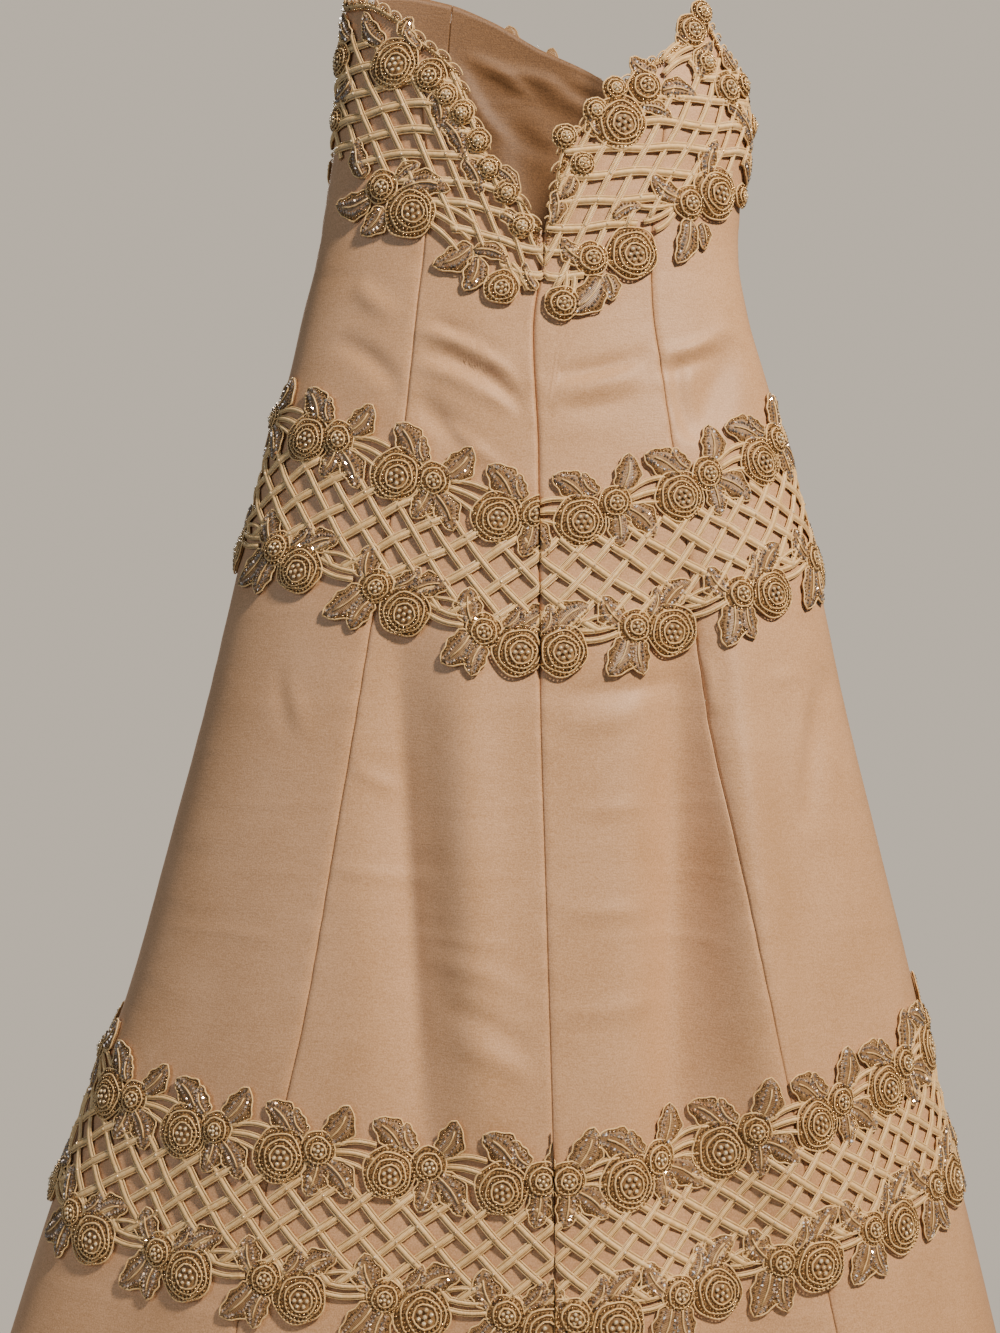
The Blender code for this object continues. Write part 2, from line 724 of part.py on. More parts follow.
def make_loops():
    """Each loop is a flat ribbon from inside the neckline's point, round the hanger's bar and back."""
    for name, angle in LOOP_ANGLES.items():
        foot = gown_point(angle, top_drop(angle) + LOOP_HOLD, -SATIN_WALL)
        foot[1] += LOOP_THICK + LOOP_CLEAR
        x = foot[0]
        top = hanger_level(x)
        bar = bar_tall(x)
        clear = HANGER_THICK / 2 / HANGER_FLAT + SEAM_GAP
        share, below = LOOP_SPREAD
        arch_share, arch_over, arch_level = LOOP_ARCH
        path = [(foot[1] + LOOP_FOOT, foot[2])]
        path += [(clear * share, top - bar - below), (clear, top - bar)]
        for step in range(LOOP_ARCH_STEPS + 1):
            turn = math.pi * step / LOOP_ARCH_STEPS
            rise = (bar * arch_share + arch_over) * math.sin(turn)
            path.append((clear * math.cos(turn), top - bar * arch_level + rise))
        path += [(-clear, top - bar), (-clear * share, top - bar - below)]
        path += [(foot[1] - LOOP_FOOT, foot[2])]
        y = np.array([p[0] for p in path])
        z = np.array([p[1] for p in path])
        ahead_y = np.roll(y, -1) - np.roll(y, 1)
        ahead_z = np.roll(z, -1) - np.roll(z, 1)
        size = np.hypot(ahead_y, ahead_z)
        out_y = ahead_z / size * LOOP_THICK
        out_z = -ahead_y / size * LOOP_THICK
        verts = []
        for side in (-LOOP_WIDTH / 2, LOOP_WIDTH / 2):
            verts += [(x + side, a, b) for a, b in zip(y, z)]
            verts += [(x + side, a, b) for a, b in zip(y + out_y, z + out_z)]
        n = len(path)
        faces = []
        for k in range(n):
            m = (k + 1) % n
            faces.append((k, m, m + n, k + n))
            faces.append((k + 2 * n, k + 3 * n, m + 3 * n, m + 2 * n))
            faces.append((k, k + 2 * n, m + 2 * n, m))
            faces.append((k + n, m + n, m + 3 * n, k + 3 * n))
        add_object(name, verts, faces, RIBBON)


def main():
    make_panels()
    make_lining()
    make_lace()
    make_hanger()
    make_hook()
    make_loops()


main()
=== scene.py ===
# An A-line gown in champagne satin with three bands of beaded cutwork lace, on a plain hanger.
# Metres, +Z up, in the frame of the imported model. A level is given as its drop below the hook's inner top.
# An angle runs round the gown: 0 at the near centre, positive to the right seen from -Y, 180 at the far side.
import math

import bpy
import numpy as np
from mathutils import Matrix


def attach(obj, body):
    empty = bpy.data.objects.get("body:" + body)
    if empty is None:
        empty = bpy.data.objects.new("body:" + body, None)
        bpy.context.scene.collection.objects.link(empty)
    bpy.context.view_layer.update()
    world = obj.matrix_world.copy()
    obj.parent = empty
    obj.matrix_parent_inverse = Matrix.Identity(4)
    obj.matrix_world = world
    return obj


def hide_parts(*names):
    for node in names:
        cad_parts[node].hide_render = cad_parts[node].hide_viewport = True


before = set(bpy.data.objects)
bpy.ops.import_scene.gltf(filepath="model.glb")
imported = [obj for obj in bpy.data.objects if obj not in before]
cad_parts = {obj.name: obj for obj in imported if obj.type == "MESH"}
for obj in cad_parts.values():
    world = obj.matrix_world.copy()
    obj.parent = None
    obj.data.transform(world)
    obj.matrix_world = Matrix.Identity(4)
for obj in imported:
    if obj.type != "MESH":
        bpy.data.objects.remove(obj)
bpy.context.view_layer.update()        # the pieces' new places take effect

mm = 0.001
chance = np.random.default_rng(7)

# the gown's form

gown = {
    "hemDrop": 1.625,
    "bodyY": 0.025,
    "farFlatness": 0.90,
    # half sizes of the section: drop, left, right, near, far
    "body": [
        (0.190, 0.158, 0.160, 0.060, 0.058), (0.250, 0.167, 0.165, 0.068, 0.064),
        (0.300, 0.171, 0.173, 0.074, 0.067), (0.345, 0.174, 0.177, 0.077, 0.068),
        (0.400, 0.182, 0.170, 0.077, 0.068), (0.440, 0.188, 0.168, 0.077, 0.068),
        (0.490, 0.200, 0.175, 0.080, 0.070), (0.550, 0.214, 0.192, 0.087, 0.075),
        (0.620, 0.232, 0.211, 0.096, 0.082), (0.710, 0.256, 0.234, 0.107, 0.090),
        (0.820, 0.282, 0.257, 0.121, 0.101), (0.940, 0.314, 0.286, 0.138, 0.113),
        (1.063, 0.348, 0.316, 0.155, 0.126), (1.140, 0.376, 0.333, 0.165, 0.133),
        (1.260, 0.418, 0.363, 0.179, 0.144), (1.360, 0.449, 0.387, 0.190, 0.153),
        (1.625, 0.532, 0.449, 0.212, 0.175),
    ],
    # the upper edge: angle, drop
    "topEdge": [
        (-180, 0.248), (-165, 0.225), (-150, 0.212), (-135, 0.208), (-105, 0.220), (-75, 0.236),
        (-60, 0.240), (-45, 0.257), (-36, 0.277), (-25, 0.303), (-18, 0.348), (-13, 0.385),
        (-6, 0.408), (0.5, 0.438), (3, 0.420), (6, 0.369), (13, 0.347), (28, 0.303),
        (40, 0.285), (52, 0.250), (63, 0.283), (80, 0.302), (92, 0.330), (120, 0.325),
        (150, 0.296), (165, 0.268), (180, 0.248),
    ],
    # where the panels meet: drop, then the angles of the centre, left and right princess seams,
    # left and right side seams, far left and far right seams
    "seams": [
        (0.20, 0.5, -42.0, 38.0, -90, 90, -152, 152),
        (0.44, 0.5, -30.5, 32.5, -90, 90, -150, 150),
        (0.52, -2.0, -30.2, 30.6, -90, 90, -150, 150),
        (0.62, -0.8, -29.6, 30.5, -90, 90, -149, 149),
        (0.80, -0.5, -31.5, 30.8, -90, 90, -149, 149),
        (1.00, 0.5, -32.3, 32.5, -90, 90, -148, 148),
        (1.20, 1.2, -33.0, 36.0, -90, 90, -148, 148),
        (1.63, 1.5, -35.0, 40.0, -90, 90, -147, 147),
    ],
    # soft folds: angle above, angle at the hem, drop where it starts, half width (degrees), height at the hem
    "folds": [
        (-70, -74, 0.90, 10, 0.012), (-50, -51, 0.80, 9, -0.014), (-20, -8, 0.76, 9, -0.015),
        (4, 8, 0.95, 9, 0.010), (25, 23, 0.76, 8, -0.018), (41, 43, 0.85, 9, 0.012),
        (60, 62, 0.90, 9, -0.014), (112, 112, 0.95, 10, -0.014), (133, 133, 0.80, 10, 0.014),
        (158, 160, 0.75, 10, -0.018), (182, 180, 0.80, 10, 0.012), (204, 203, 0.75, 10, -0.016),
        (226, 227, 0.80, 10, 0.014), (246, 247, 0.95, 10, -0.013),
    ],
    "foldGrowth": 1.9,
    "creaseStrength": 1.5,
    # creases in the satin: across and drop of one end, then of the other, half width, height, bow (all mm)
    "nearCreases": [
        (-172, 521, -113, 573, 9, -2.2, -7), (-153, 474, -116, 506, 9, 1.6, 4),
        (-106, 518, -19, 562, 6, 2.4, -8), (-100, 534, -14, 584, 7, -3.0, -8),
        (-91, 508, -32, 541, 6, -1.6, 0), (-104, 548, -20, 590, 6, 1.8, -6),
        (-104, 570, -54, 612, 11, -3.0, 4), (-80, 590, -28, 634, 6, 1.8, 3),
        (-2, 558, 90, 536, 7, -2.2, 4), (2, 572, 84, 552, 9, 1.8, 3), (14, 586, 78, 574, 7, -1.2, 2),
        (94, 540, 158, 512, 6, 2.2, 4), (92, 552, 150, 530, 6, -1.8, 4),
        (112, 534, 126, 612, 7, -2.6, 6), (158, 518, 126, 612, 17, -5.0, 0),
        (-117, 770, -90, 1180, 8, -2.4, 4), (-116, 720, -88, 1230, 26, -9.0, 4),
        (-62, 730, -44, 1170, 24, 6.0, 2), (-153, 870, -112, 890, 5, 1.2, 2),
        (-187, 947, -78, 958, 5, 1.0, 3), (-214, 790, -204, 850, 7, -0.8, 2),
        (-205, 800, -190, 850, 8, 0.8, 0), (-100, 1020, -6, 1050, 8, 1.1, -6),
        (-84, 1056, -6, 1094, 9, -1.5, -6), (-70, 1084, -4, 1116, 8, 1.2, -4),
        (4, 812, 118, 797, 7, -2.4, 6), (10, 836, 86, 826, 9, 1.4, 4), (20, 905, 84, 900, 6, 0.9, 2),
        (12, 984, 92, 978, 6, 1.0, 2), (10, 1060, 100, 1050, 7, 1.2, 3),
        (120, 690, 106, 1270, 30, -19.0, 2), (134, 690, 198, 1280, 27, 12.0, 2),
        (131, 778, 137, 832, 4, 2.6, 0), (178, 803, 220, 798, 4, 1.4, 0),
        (238, 790, 214, 925, 12, -3.6, 4), (218, 800, 200, 920, 9, 1.8, 0),
        (-60, 1340, 60, 1352, 9, 2.0, 6), (40, 1370, 150, 1350, 9, -2.2, 6),
    ],
    "farCreases": [
        (-150, 500, -60, 560, 9, -2.4, 6), (20, 520, 110, 500, 9, 2.0, 5),
        (-40, 560, 40, 590, 10, -2.0, 6), (-120, 800, -90, 1150, 22, -6.0, 5),
        (80, 780, 120, 1180, 16, -7.0, 5), (-20, 900, 60, 892, 6, 1.2, 3),
        (-60, 1040, 30, 1060, 8, 1.6, -5), (150, 860, 200, 930, 10, -3.0, 3),
    ],
}


def together(*columns):
    # columns side by side along a new last axis; a single number fills its column
    return np.stack(np.broadcast_arrays(*columns), axis=-1)


def through(rows, column, at):
    # a smooth monotone cubic through a table's rows
    places = np.array([row[0] for row in rows], dtype=float)
    values = np.array([row[column] for row in rows], dtype=float)
    step = np.diff(places)
    rate = np.diff(values) / step
    slope = np.zeros(len(places))
    sameWay = rate[:-1] * rate[1:] > 0
    both = np.where(sameWay, rate[:-1] + rate[1:], 1.0)
    slope[1:-1] = np.where(sameWay, 2 * rate[:-1] * rate[1:] / both, 0.0)
    slope[0] = rate[0]
    slope[-1] = rate[-1]
    at = np.clip(at, places[0], places[-1])
    i = np.clip(np.searchsorted(places, at) - 1, 0, len(step) - 1)
    f = (at - places[i]) / step[i]
    rise = values[i] * (1 + 2 * f) * (1 - f) ** 2 + values[i + 1] * f * f * (3 - 2 * f)
    bend = step[i] * f * (1 - f) * (slope[i] * (1 - f) - slope[i + 1] * f)
    return rise + bend


def turned(angle):
    return (np.asarray(angle, dtype=float) + 180) % 360 - 180


def foldHeight(angle, drop):
    # each fold is a bell across the cloth that grows towards the hem
    height = np.zeros(np.broadcast(angle, drop).shape)
    for above, below, start, halfWidth, rise in gown["folds"]:
        grown = np.clip((drop - start) / (gown["hemDrop"] - start), 0, 1.1)
        away = turned(angle - (above + (below - above) * grown)) / halfWidth
        height = height + rise * grown ** gown["foldGrowth"] * np.exp(-away * away)
    return height


def plainPoint(angle, drop):
    # an ellipse at each level, flatter on the far side, pushed out by the folds
    around = np.radians(turned(angle))
    body = gown["body"]
    width = np.where(around < 0, through(body, 1, drop), through(body, 2, drop))
    near = through(body, 3, drop)
    far = through(body, 4, drop)
    sine = np.sin(around)
    cosine = np.cos(around)
    depth = np.where(cosine > 0, near, far)
    x = width * sine
    y = np.where(cosine > 0, -near * cosine, far * np.abs(cosine) ** gown["farFlatness"])
    outX = sine / width
    outY = -cosine / depth
    size = np.hypot(outX, outY)
    push = foldHeight(angle, drop)
    return together(x + push * outX / size, y + push * outY / size + gown["bodyY"], -drop)


def creaseHeight(rows, x, drop):
    # each crease is a bell across a bowed line, and fades to nothing at both ends
    height = np.zeros(x.shape)
    for x1, drop1, x2, drop2, halfWidth, rise, bow in rows:
        runX = (x2 - x1) * mm
        runDrop = (drop2 - drop1) * mm
        length = math.hypot(runX, runDrop)
        fromX = x - x1 * mm
        fromDrop = drop - drop1 * mm
        share = np.clip((fromX * runX + fromDrop * runDrop) / length**2, 0, 1)
        away = (fromDrop * runX - fromX * runDrop) / length - bow * mm * 4 * share * (1 - share)
        bell = np.exp(-((away / (halfWidth * mm)) ** 2)) * np.sin(math.pi * share) ** 0.8
        height += rise * gown["creaseStrength"] * mm * bell
    return height


def gownPoint(angle, drop, out=0.0, creased=True):
    # a point of the satin, moved out along its normal
    angle, drop, out = np.broadcast_arrays(
        np.asarray(angle, dtype=float), np.asarray(drop, dtype=float), np.asarray(out, dtype=float)
    )
    across = plainPoint(angle + 0.2, drop) - plainPoint(angle - 0.2, drop)
    upward = plainPoint(angle, drop - 0.5 * mm) - plainPoint(angle, drop + 0.5 * mm)
    normal = np.cross(across, upward)
    normal /= np.linalg.norm(normal, axis=-1, keepdims=True)
    place = plainPoint(angle, drop)
    if creased:
        facing = np.cos(np.radians(turned(angle)))
        near = creaseHeight(gown["nearCreases"], place[..., 0], drop) * np.clip(facing * 4, 0, 1)
        far = creaseHeight(gown["farCreases"], place[..., 0], drop) * np.clip(-facing * 4, 0, 1)
        out = out + near + far
    return place + normal * out[..., None]


def topDrop(angle):
    return through(gown["topEdge"], 1, turned(angle))


# meshes from arrays


def makeMesh(name, verts, faces, materials, uv=None, marks=None, faceMaterial=None, flatShaded=False):
    # verts (n, 3); faces (n, 3) or (n, 4); uv and marks are given for each vertex
    mesh = bpy.data.meshes.new(name)
    sides = faces.shape[1]
    mesh.vertices.add(len(verts))
    mesh.vertices.foreach_set("co", np.ascontiguousarray(verts, dtype=np.float32).ravel())
    mesh.loops.add(faces.size)
    mesh.loops.foreach_set("vertex_index", np.ascontiguousarray(faces, dtype=np.int32).ravel())
    mesh.polygons.add(len(faces))
    mesh.polygons.foreach_set("loop_start", np.arange(0, faces.size, sides, dtype=np.int32))
    mesh.update(calc_edges=True)
    if flatShaded:
        mesh.shade_flat()
    else:
        mesh.shade_smooth()
    if uv is not None:
        layer = mesh.uv_layers.new(name="cut")
        layer.data.foreach_set("uv", np.ascontiguousarray(uv[faces.ravel()], dtype=np.float32).ravel())
    if marks is not None:
        # along: metres along a cord; the second mark is painted shade, 1 in a groove or beside the cloth, 0
        # on top
        for column, label in enumerate(("along", "paintedShade")):
            layer = mesh.attributes.new(label, "FLOAT", "POINT")
            layer.data.foreach_set("value", np.ascontiguousarray(marks[:, column], dtype=np.float32))
    for material in materials:
        mesh.materials.append(material)
    if faceMaterial is not None:
        mesh.polygons.foreach_set("material_index", np.ascontiguousarray(faceMaterial, dtype=np.int32))
    mesh.validate()
    piece = bpy.data.objects.new(name, mesh)
    bpy.context.scene.collection.objects.link(piece)
    return piece


def gridFaces(rows, columns, wrap=False):
    # quads of a grid of points, row after row; wrap joins the last column to the first
    i = np.arange(rows - 1)[:, None]
    j = np.arange(columns if wrap else columns - 1)[None, :]
    k = (j + 1) % columns
    corners = [i * columns + j, (i + 1) * columns + j, (i + 1) * columns + k, i * columns + k]
    return np.stack([c + 0 * (i + j) for c in corners], axis=-1).reshape(-1, 4)


def asTriangles(quads):
    return np.concatenate([quads[:, [0, 1, 2]], quads[:, [0, 2, 3]]])


def joined(parts):
    # one array of vertices, of faces and of marks from several
    verts, faces, marks, count = [], [], [], 0
    for part in parts:
        verts.append(part[0])
        faces.append(part[1] + count)
        marks.append(part[2])
        count += len(part[0])
    return np.concatenate(verts), np.concatenate(faces), np.concatenate(marks)


def turns(count):
    # angles spread evenly round a circle
    return np.arange(count) * 2 * math.pi / count


def lengthAlong(path):
    # the distance along a path at each of its points
    return np.concatenate([[0], np.cumsum(np.linalg.norm(np.diff(path, axis=0), axis=1))])


def evenly(path, count):
    # the distance along a path at evenly spaced places, and the places
    length = lengthAlong(path)
    at = np.linspace(0, length[-1], count)
    return at, np.stack([np.interp(at, length, column) for column in path.T], axis=-1)


def roundProfile(radius, sides):
    turn = turns(sides)
    return together(-np.cos(turn), np.sin(turn)) * radius


def tubeFaces(rings, sides):
    # the sides of a tube and a fan over each of its ends
    fan = np.arange(1, sides - 1)
    first = together(0, fan, fan + 1)
    last = together(0, fan + 1, fan) + (rings - 1) * sides
    return np.concatenate([asTriangles(gridFaces(rings, sides, wrap=True)), first, last])


def sweep(path, profile, closed=False, taper=1.0, paintedShade=None):
    # a profile (across, up) carried along a flat path (a, b, height); closed joins its ends
    if closed:
        ahead = np.roll(path, -1, axis=0) - np.roll(path, 1, axis=0)
    else:
        ahead = np.gradient(path, axis=0)
    size = np.hypot(ahead[:, 0], ahead[:, 1]) + 1e-12
    sideways = together(-ahead[:, 1] / size, ahead[:, 0] / size, 0)
    grow = np.broadcast_to(taper, len(path))[:, None]
    verts = path[:, None, :] + sideways[:, None, :] * (profile[None, :, :1] * grow[..., None])
    verts[..., 2] += profile[None, :, 1] * grow
    rings, sides = len(path), len(profile)
    if closed:
        faces = asTriangles(gridFaces(rings + 1, sides, wrap=True) % (rings * sides))
    else:
        faces = tubeFaces(rings, sides)
    # painted shade: unless given, the lower half of the profile, beside the cloth, is marked to be darkened
    if paintedShade is None:
        paintedShade = np.clip(-profile[:, 1] / np.abs(profile[:, 1]).max(), 0, 1)
    along = np.repeat(lengthAlong(path), sides)
    return verts.reshape(-1, 3), faces, together(along, np.tile(paintedShade, rings))


def copies(shapes, corners, centres, radii):
    # a small shape at each centre, sized by its radius
    verts = centres[:, None, :] + shapes * np.asarray(radii)[:, None, None]
    count = shapes.shape[-2]
    faces = corners + (np.arange(len(centres)) * count)[:, None, None]
    return verts.reshape(-1, 3), faces.reshape(-1, 3), np.zeros((len(centres) * count, 2))


def beadMesh(centres, radii, sides=6):
    # a small double cone for each bead: a ring of points and a pole above and below
    pole = 0.85
    turn = turns(sides)
    ring = together(np.cos(turn), np.sin(turn), 0)
    shape = np.concatenate([ring, [[0, 0, pole]], [[0, 0, -pole]]])
    k = np.arange(sides)
    upper = together(k, (k + 1) % sides, sides)
    lower = together((k + 1) % sides, k, sides + 1)
    return copies(shape, np.concatenate([upper, lower]), centres, radii)


def glintMesh(centres, radii):
    # a small faceted stone for each place, tilted at random so that some catch the light
    pole = 0.7
    axes = np.array([[1, 0, 0], [0, 1, 0], [-1, 0, 0], [0, -1, 0], [0, 0, pole], [0, 0, -pole]])
    turn = chance.uniform(0, math.pi, len(centres))
    tilt = chance.normal(0, leaf["stoneTilt"], (len(centres), 2))
    cosine, sine = np.cos(turn)[:, None], np.sin(turn)[:, None]
    shapes = np.zeros((len(centres), 6, 3))
    shapes[..., 0] = axes[:, 0] * cosine - axes[:, 1] * sine
    shapes[..., 1] = axes[:, 0] * sine + axes[:, 1] * cosine
    shapes[..., 2] = axes[:, 2] + shapes[..., 0] * tilt[:, :1] + shapes[..., 1] * tilt[:, 1:]
    corners = [[0, 1, 4], [1, 2, 4], [2, 3, 4], [3, 0, 4], [1, 0, 5], [2, 1, 5], [3, 2, 5], [0, 3, 5]]
    return copies(shapes, np.array(corners), centres, radii)


def spaced(path, step):
    # places about a step apart along a path, measured flat
    length = lengthAlong(path[:, :2])
    count = max(int(round(length[-1] / step)), 1)
    at = (np.arange(count) + 0.5) * length[-1] / count
    return np.stack([np.interp(at, length, column) for column in path.T], axis=-1)


# finishes


def toLinear(hexColour):
    values = [int(hexColour[i : i + 2], 16) / 255 for i in (1, 3, 5)]
    return tuple(v / 12.92 if v <= 0.04045 else ((v + 0.055) / 1.055) ** 2.4 for v in values) + (1.0,)


def feed(tree, node, links):
    # links give each socket's source: a socket, or a node for its first output
    for key, source in links.items():
        tree.links.new(getattr(source, "outputs", [source])[0], node.inputs[key])


def addNode(tree, kind, settings=None, links=None):
    # settings name a socket or a property
    node = tree.nodes.new("ShaderNode" + kind)
    for key, value in (settings or {}).items():
        if isinstance(key, int) or key in node.inputs:
            node.inputs[key].default_value = value
        else:
            setattr(node, key, value)
    feed(tree, node, links or {})
    return node


def startMaterial(name, values):
    material = bpy.data.materials.new(name)
    material.use_nodes = True
    tree = material.node_tree
    shader = tree.nodes["Principled BSDF"]
    for key, value in values.items():
        shader.inputs[key].default_value = value
    return material, tree, shader


def blendColours(tree, factor, first, second):
    ends = {"data_type": "RGBA", 6: toLinear(first), 7: toLinear(second)}
    return addNode(tree, "Mix", ends, {0: factor}).outputs[2]


def satinFinish(name, light, dark, roughness, sheen):
    # duchess satin: long warp floats give a broad soft gloss and a fine grain, with faint slubs across
    material, tree, shader = startMaterial(name, {
        "Sheen Weight": sheen, "Sheen Roughness": 0.5, "Sheen Tint": toLinear("#f6dcc0"),
        "IOR": 1.5, "Specular IOR Level": 0.45,
    })
    place = addNode(tree, "TexCoord").outputs
    # slubs about 1.5 mm high and 12 mm long lie along the weft
    stretched = addNode(tree, "Mapping", {"Scale": (80, 650, 1)}, {"Vector": place["UV"]})
    slubs = addNode(tree, "TexNoise", {"Scale": 1.0, "Detail": 3.0, "Roughness": 0.6}, {"Vector": stretched})
    # cloudy shade from handling, about 60 mm across
    clouds = addNode(tree, "TexNoise", {"Scale": 16.0, "Detail": 2.0}, {"Vector": place["Object"]})
    # the grain of the floats is 0.35 mm in life, drawn at 1.1 mm so that it shows
    grain = addNode(tree, "TexNoise", {"Scale": 900.0, "Detail": 1.0}, {"Vector": place["Object"]})
    both = addNode(tree, "Math", {"operation": "ADD"}, {0: slubs, 1: clouds})
    total = addNode(tree, "Math", {"operation": "MULTIPLY_ADD", 1: 0.35}, {0: both, 2: grain})
    spread = addNode(tree, "MapRange", {"From Min": 0.64, "From Max": 1.07}, {"Value": total})
    gloss = {"To Min": roughness - 0.05, "To Max": roughness + 0.07}
    rough = addNode(tree, "MapRange", gloss, {"Value": slubs})
    relief = addNode(tree, "Math", {"operation": "ADD"}, {0: slubs, 1: grain})
    # faint sharp creases from handling, a few centimetres long and a little aslant
    lay = {"Rotation": (0, 0, -0.22), "Scale": (7, 26, 1)}
    aslant = addNode(tree, "Mapping", lay, {"Vector": place["UV"]})
    ridges = {"noise_type": "RIDGED_MULTIFRACTAL", "Scale": 1.0, "Detail": 1.0, "Distortion": 0.8}
    handled = addNode(tree, "TexNoise", ridges, {"Vector": aslant})
    soft = addNode(tree, "Bump", {"Strength": 0.40, "Distance": 0.0025}, {"Height": handled})
    bump = addNode(tree, "Bump", {"Strength": 0.35, "Distance": 0.0004}, {"Height": relief, "Normal": soft})
    colour = blendColours(tree, spread, dark, light)
    feed(tree, shader, {"Base Color": colour, "Roughness": rough, "Normal": bump})
    return material


def cordFinish(name, light, dark, paintedShadeColour, roughness, stitch):
    # rayon satin stitch over a padding cord: fine threads across it give stripes and a silky gloss; painted
    # shade darkens its grooves and its undersides
    material, tree, shader = startMaterial(
        name, {"Sheen Weight": 0.35, "Sheen Roughness": 0.4, "Sheen Tint": toLinear("#fff0d2"), "IOR": 1.5}
    )
    along = addNode(tree, "Attribute", {"attribute_name": "along"}).outputs["Fac"]
    paintedShade = addNode(tree, "Attribute", {"attribute_name": "paintedShade"}).outputs["Fac"]
    place = addNode(tree, "TexCoord").outputs["Object"]
    # threads are 0.3 mm in life, drawn a little coarser so that they show
    threads = addNode(tree, "Math", {"operation": "MULTIPLY", 1: 2 * math.pi / stitch}, {0: along})
    wave = addNode(tree, "Math", {"operation": "SINE"}, {0: threads})
    half = addNode(tree, "Math", {"operation": "MULTIPLY_ADD", 1: 0.5, 2: 0.5}, {0: wave})
    tone = addNode(tree, "TexNoise", {"Scale": 240.0, "Detail": 2.0}, {"Vector": place})
    total = addNode(tree, "Math", {"operation": "MULTIPLY_ADD", 1: 0.30}, {0: half, 2: tone})
    spread = addNode(tree, "MapRange", {"From Min": 0.40, "From Max": 0.95}, {"Value": total})
    # painted shade: where the second mark is 1, in the grooves between cords and beside the cloth, the colour
    # is mixed towards a dark shade colour
    colour = blendColours(tree, spread, dark, light)
    shaded = addNode(tree, "Mix", {"data_type": "RGBA", 7: toLinear(paintedShadeColour)}, {0: paintedShade, 6: colour})
    gloss = {"To Min": roughness + 0.1, "To Max": roughness - 0.05}
    rough = addNode(tree, "MapRange", gloss, {"Value": half})
    bump = addNode(tree, "Bump", {"Strength": 0.5, "Distance": 0.0003}, {"Height": half})
    feed(tree, shader, {"Base Color": shaded.outputs[2], "Roughness": rough, "Normal": bump})
    return material


def beadFinish(name, light, dark, metallic, roughness, size):
    # small glass beads with a metal lining: each a little different, with a bright point of light
    material, tree, shader = startMaterial(
        name, {"Metallic": metallic, "Roughness": roughness, "Coat Weight": 0.6, "Coat Roughness": 0.08}
    )
    place = addNode(tree, "TexCoord").outputs["Object"]
    cells = addNode(tree, "TexVoronoi", {"Scale": 1 / size}, {"Vector": place})
    each = addNode(tree, "SeparateColor", {}, {"Color": cells.outputs["Color"]})
    feed(tree, shader, {"Base Color": blendColours(tree, each, dark, light)})
    return material


def woodFinish():
    # varnished beech: short fine flecks along the bar under a clear coat
    material, tree, shader = startMaterial(
        "varnishedBeech", {"Roughness": 0.42, "Coat Weight": 0.5, "Coat Roughness": 0.18}
    )
    place = addNode(tree, "TexCoord").outputs["Object"]
    stretched = addNode(tree, "Mapping", {"Scale": (12, 260, 260)}, {"Vector": place})
    grain = addNode(tree, "TexNoise", {"Scale": 1.0, "Detail": 4.0, "Distortion": 0.4}, {"Vector": stretched})
    spread = addNode(tree, "MapRange", {"From Min": 0.35, "From Max": 0.7}, {"Value": grain})
    bump = addNode(tree, "Bump", {"Strength": 0.2, "Distance": 0.0004}, {"Height": grain})
    feed(tree, shader, {"Base Color": blendColours(tree, spread, "#8a5d36", "#b98a58"), "Normal": bump})
    return material


def steelFinish():
    # drawn and plated steel wire: bright, with faint lengthwise marks
    values = {"Metallic": 1.0, "Base Color": toLinear("#cfcfcf")}
    material, tree, shader = startMaterial("platedSteelWire", values)
    place = addNode(tree, "TexCoord").outputs["Object"]
    marks = addNode(tree, "TexNoise", {"Scale": 600.0, "Detail": 2.0}, {"Vector": place})
    rough = addNode(tree, "MapRange", {"To Min": 0.16, "To Max": 0.34}, {"Value": marks})
    feed(tree, shader, {"Roughness": rough})
    return material


def floorFinish():
    # a matt painted floor, pale and plain
    return startMaterial("paleFloor", {"Roughness": 0.9, "Base Color": toLinear("#cfc8be")})[0]


satin = satinFinish("duchessSatin", "#deb187", "#bf9267", 0.52, 0.14)
# the lining's colours are set far darker than the satin's: partly its own colour, partly painted shade of the
# gown's inside
lining = satinFinish("satinLiningDarkenedForShade", "#8a6541", "#684a2e", 0.58, 0.08)
# the third colour of each of these is the painted shade colour, mixed in at grooves and under the cords
cord = cordFinish("satinStitchedCord", "#ffdea2", "#e6b876", "#80582e", 0.34, 1.1 * mm)
thread = cordFinish("threadFilling", "#c49c64", "#98744a", "#6e4e2c", 0.55, 0.9 * mm)
sequinBed = cordFinish("sequinGround", "#c09a6c", "#86643e", "#4e3620", 0.40, 1.3 * mm)
bead = beadFinish("goldLinedBeads", "#dcb67c", "#6a4a28", 0.8, 0.18, 2.4 * mm)
pearl = beadFinish("goldPearls", "#ffeeca", "#e6c48e", 0.30, 0.16, 3.0 * mm)
glint = beadFinish("roseSilverStones", "#fff4e6", "#cca88a", 0.85, 0.12, 2.2 * mm)
ribbon = satinFinish("silverRibbon", "#d8d6d0", "#bab6ae", 0.35, 0.30)
print("finishes made")


def settle(piece, node):
    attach(piece, "root")
    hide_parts(node)


# the satin panels and the lining

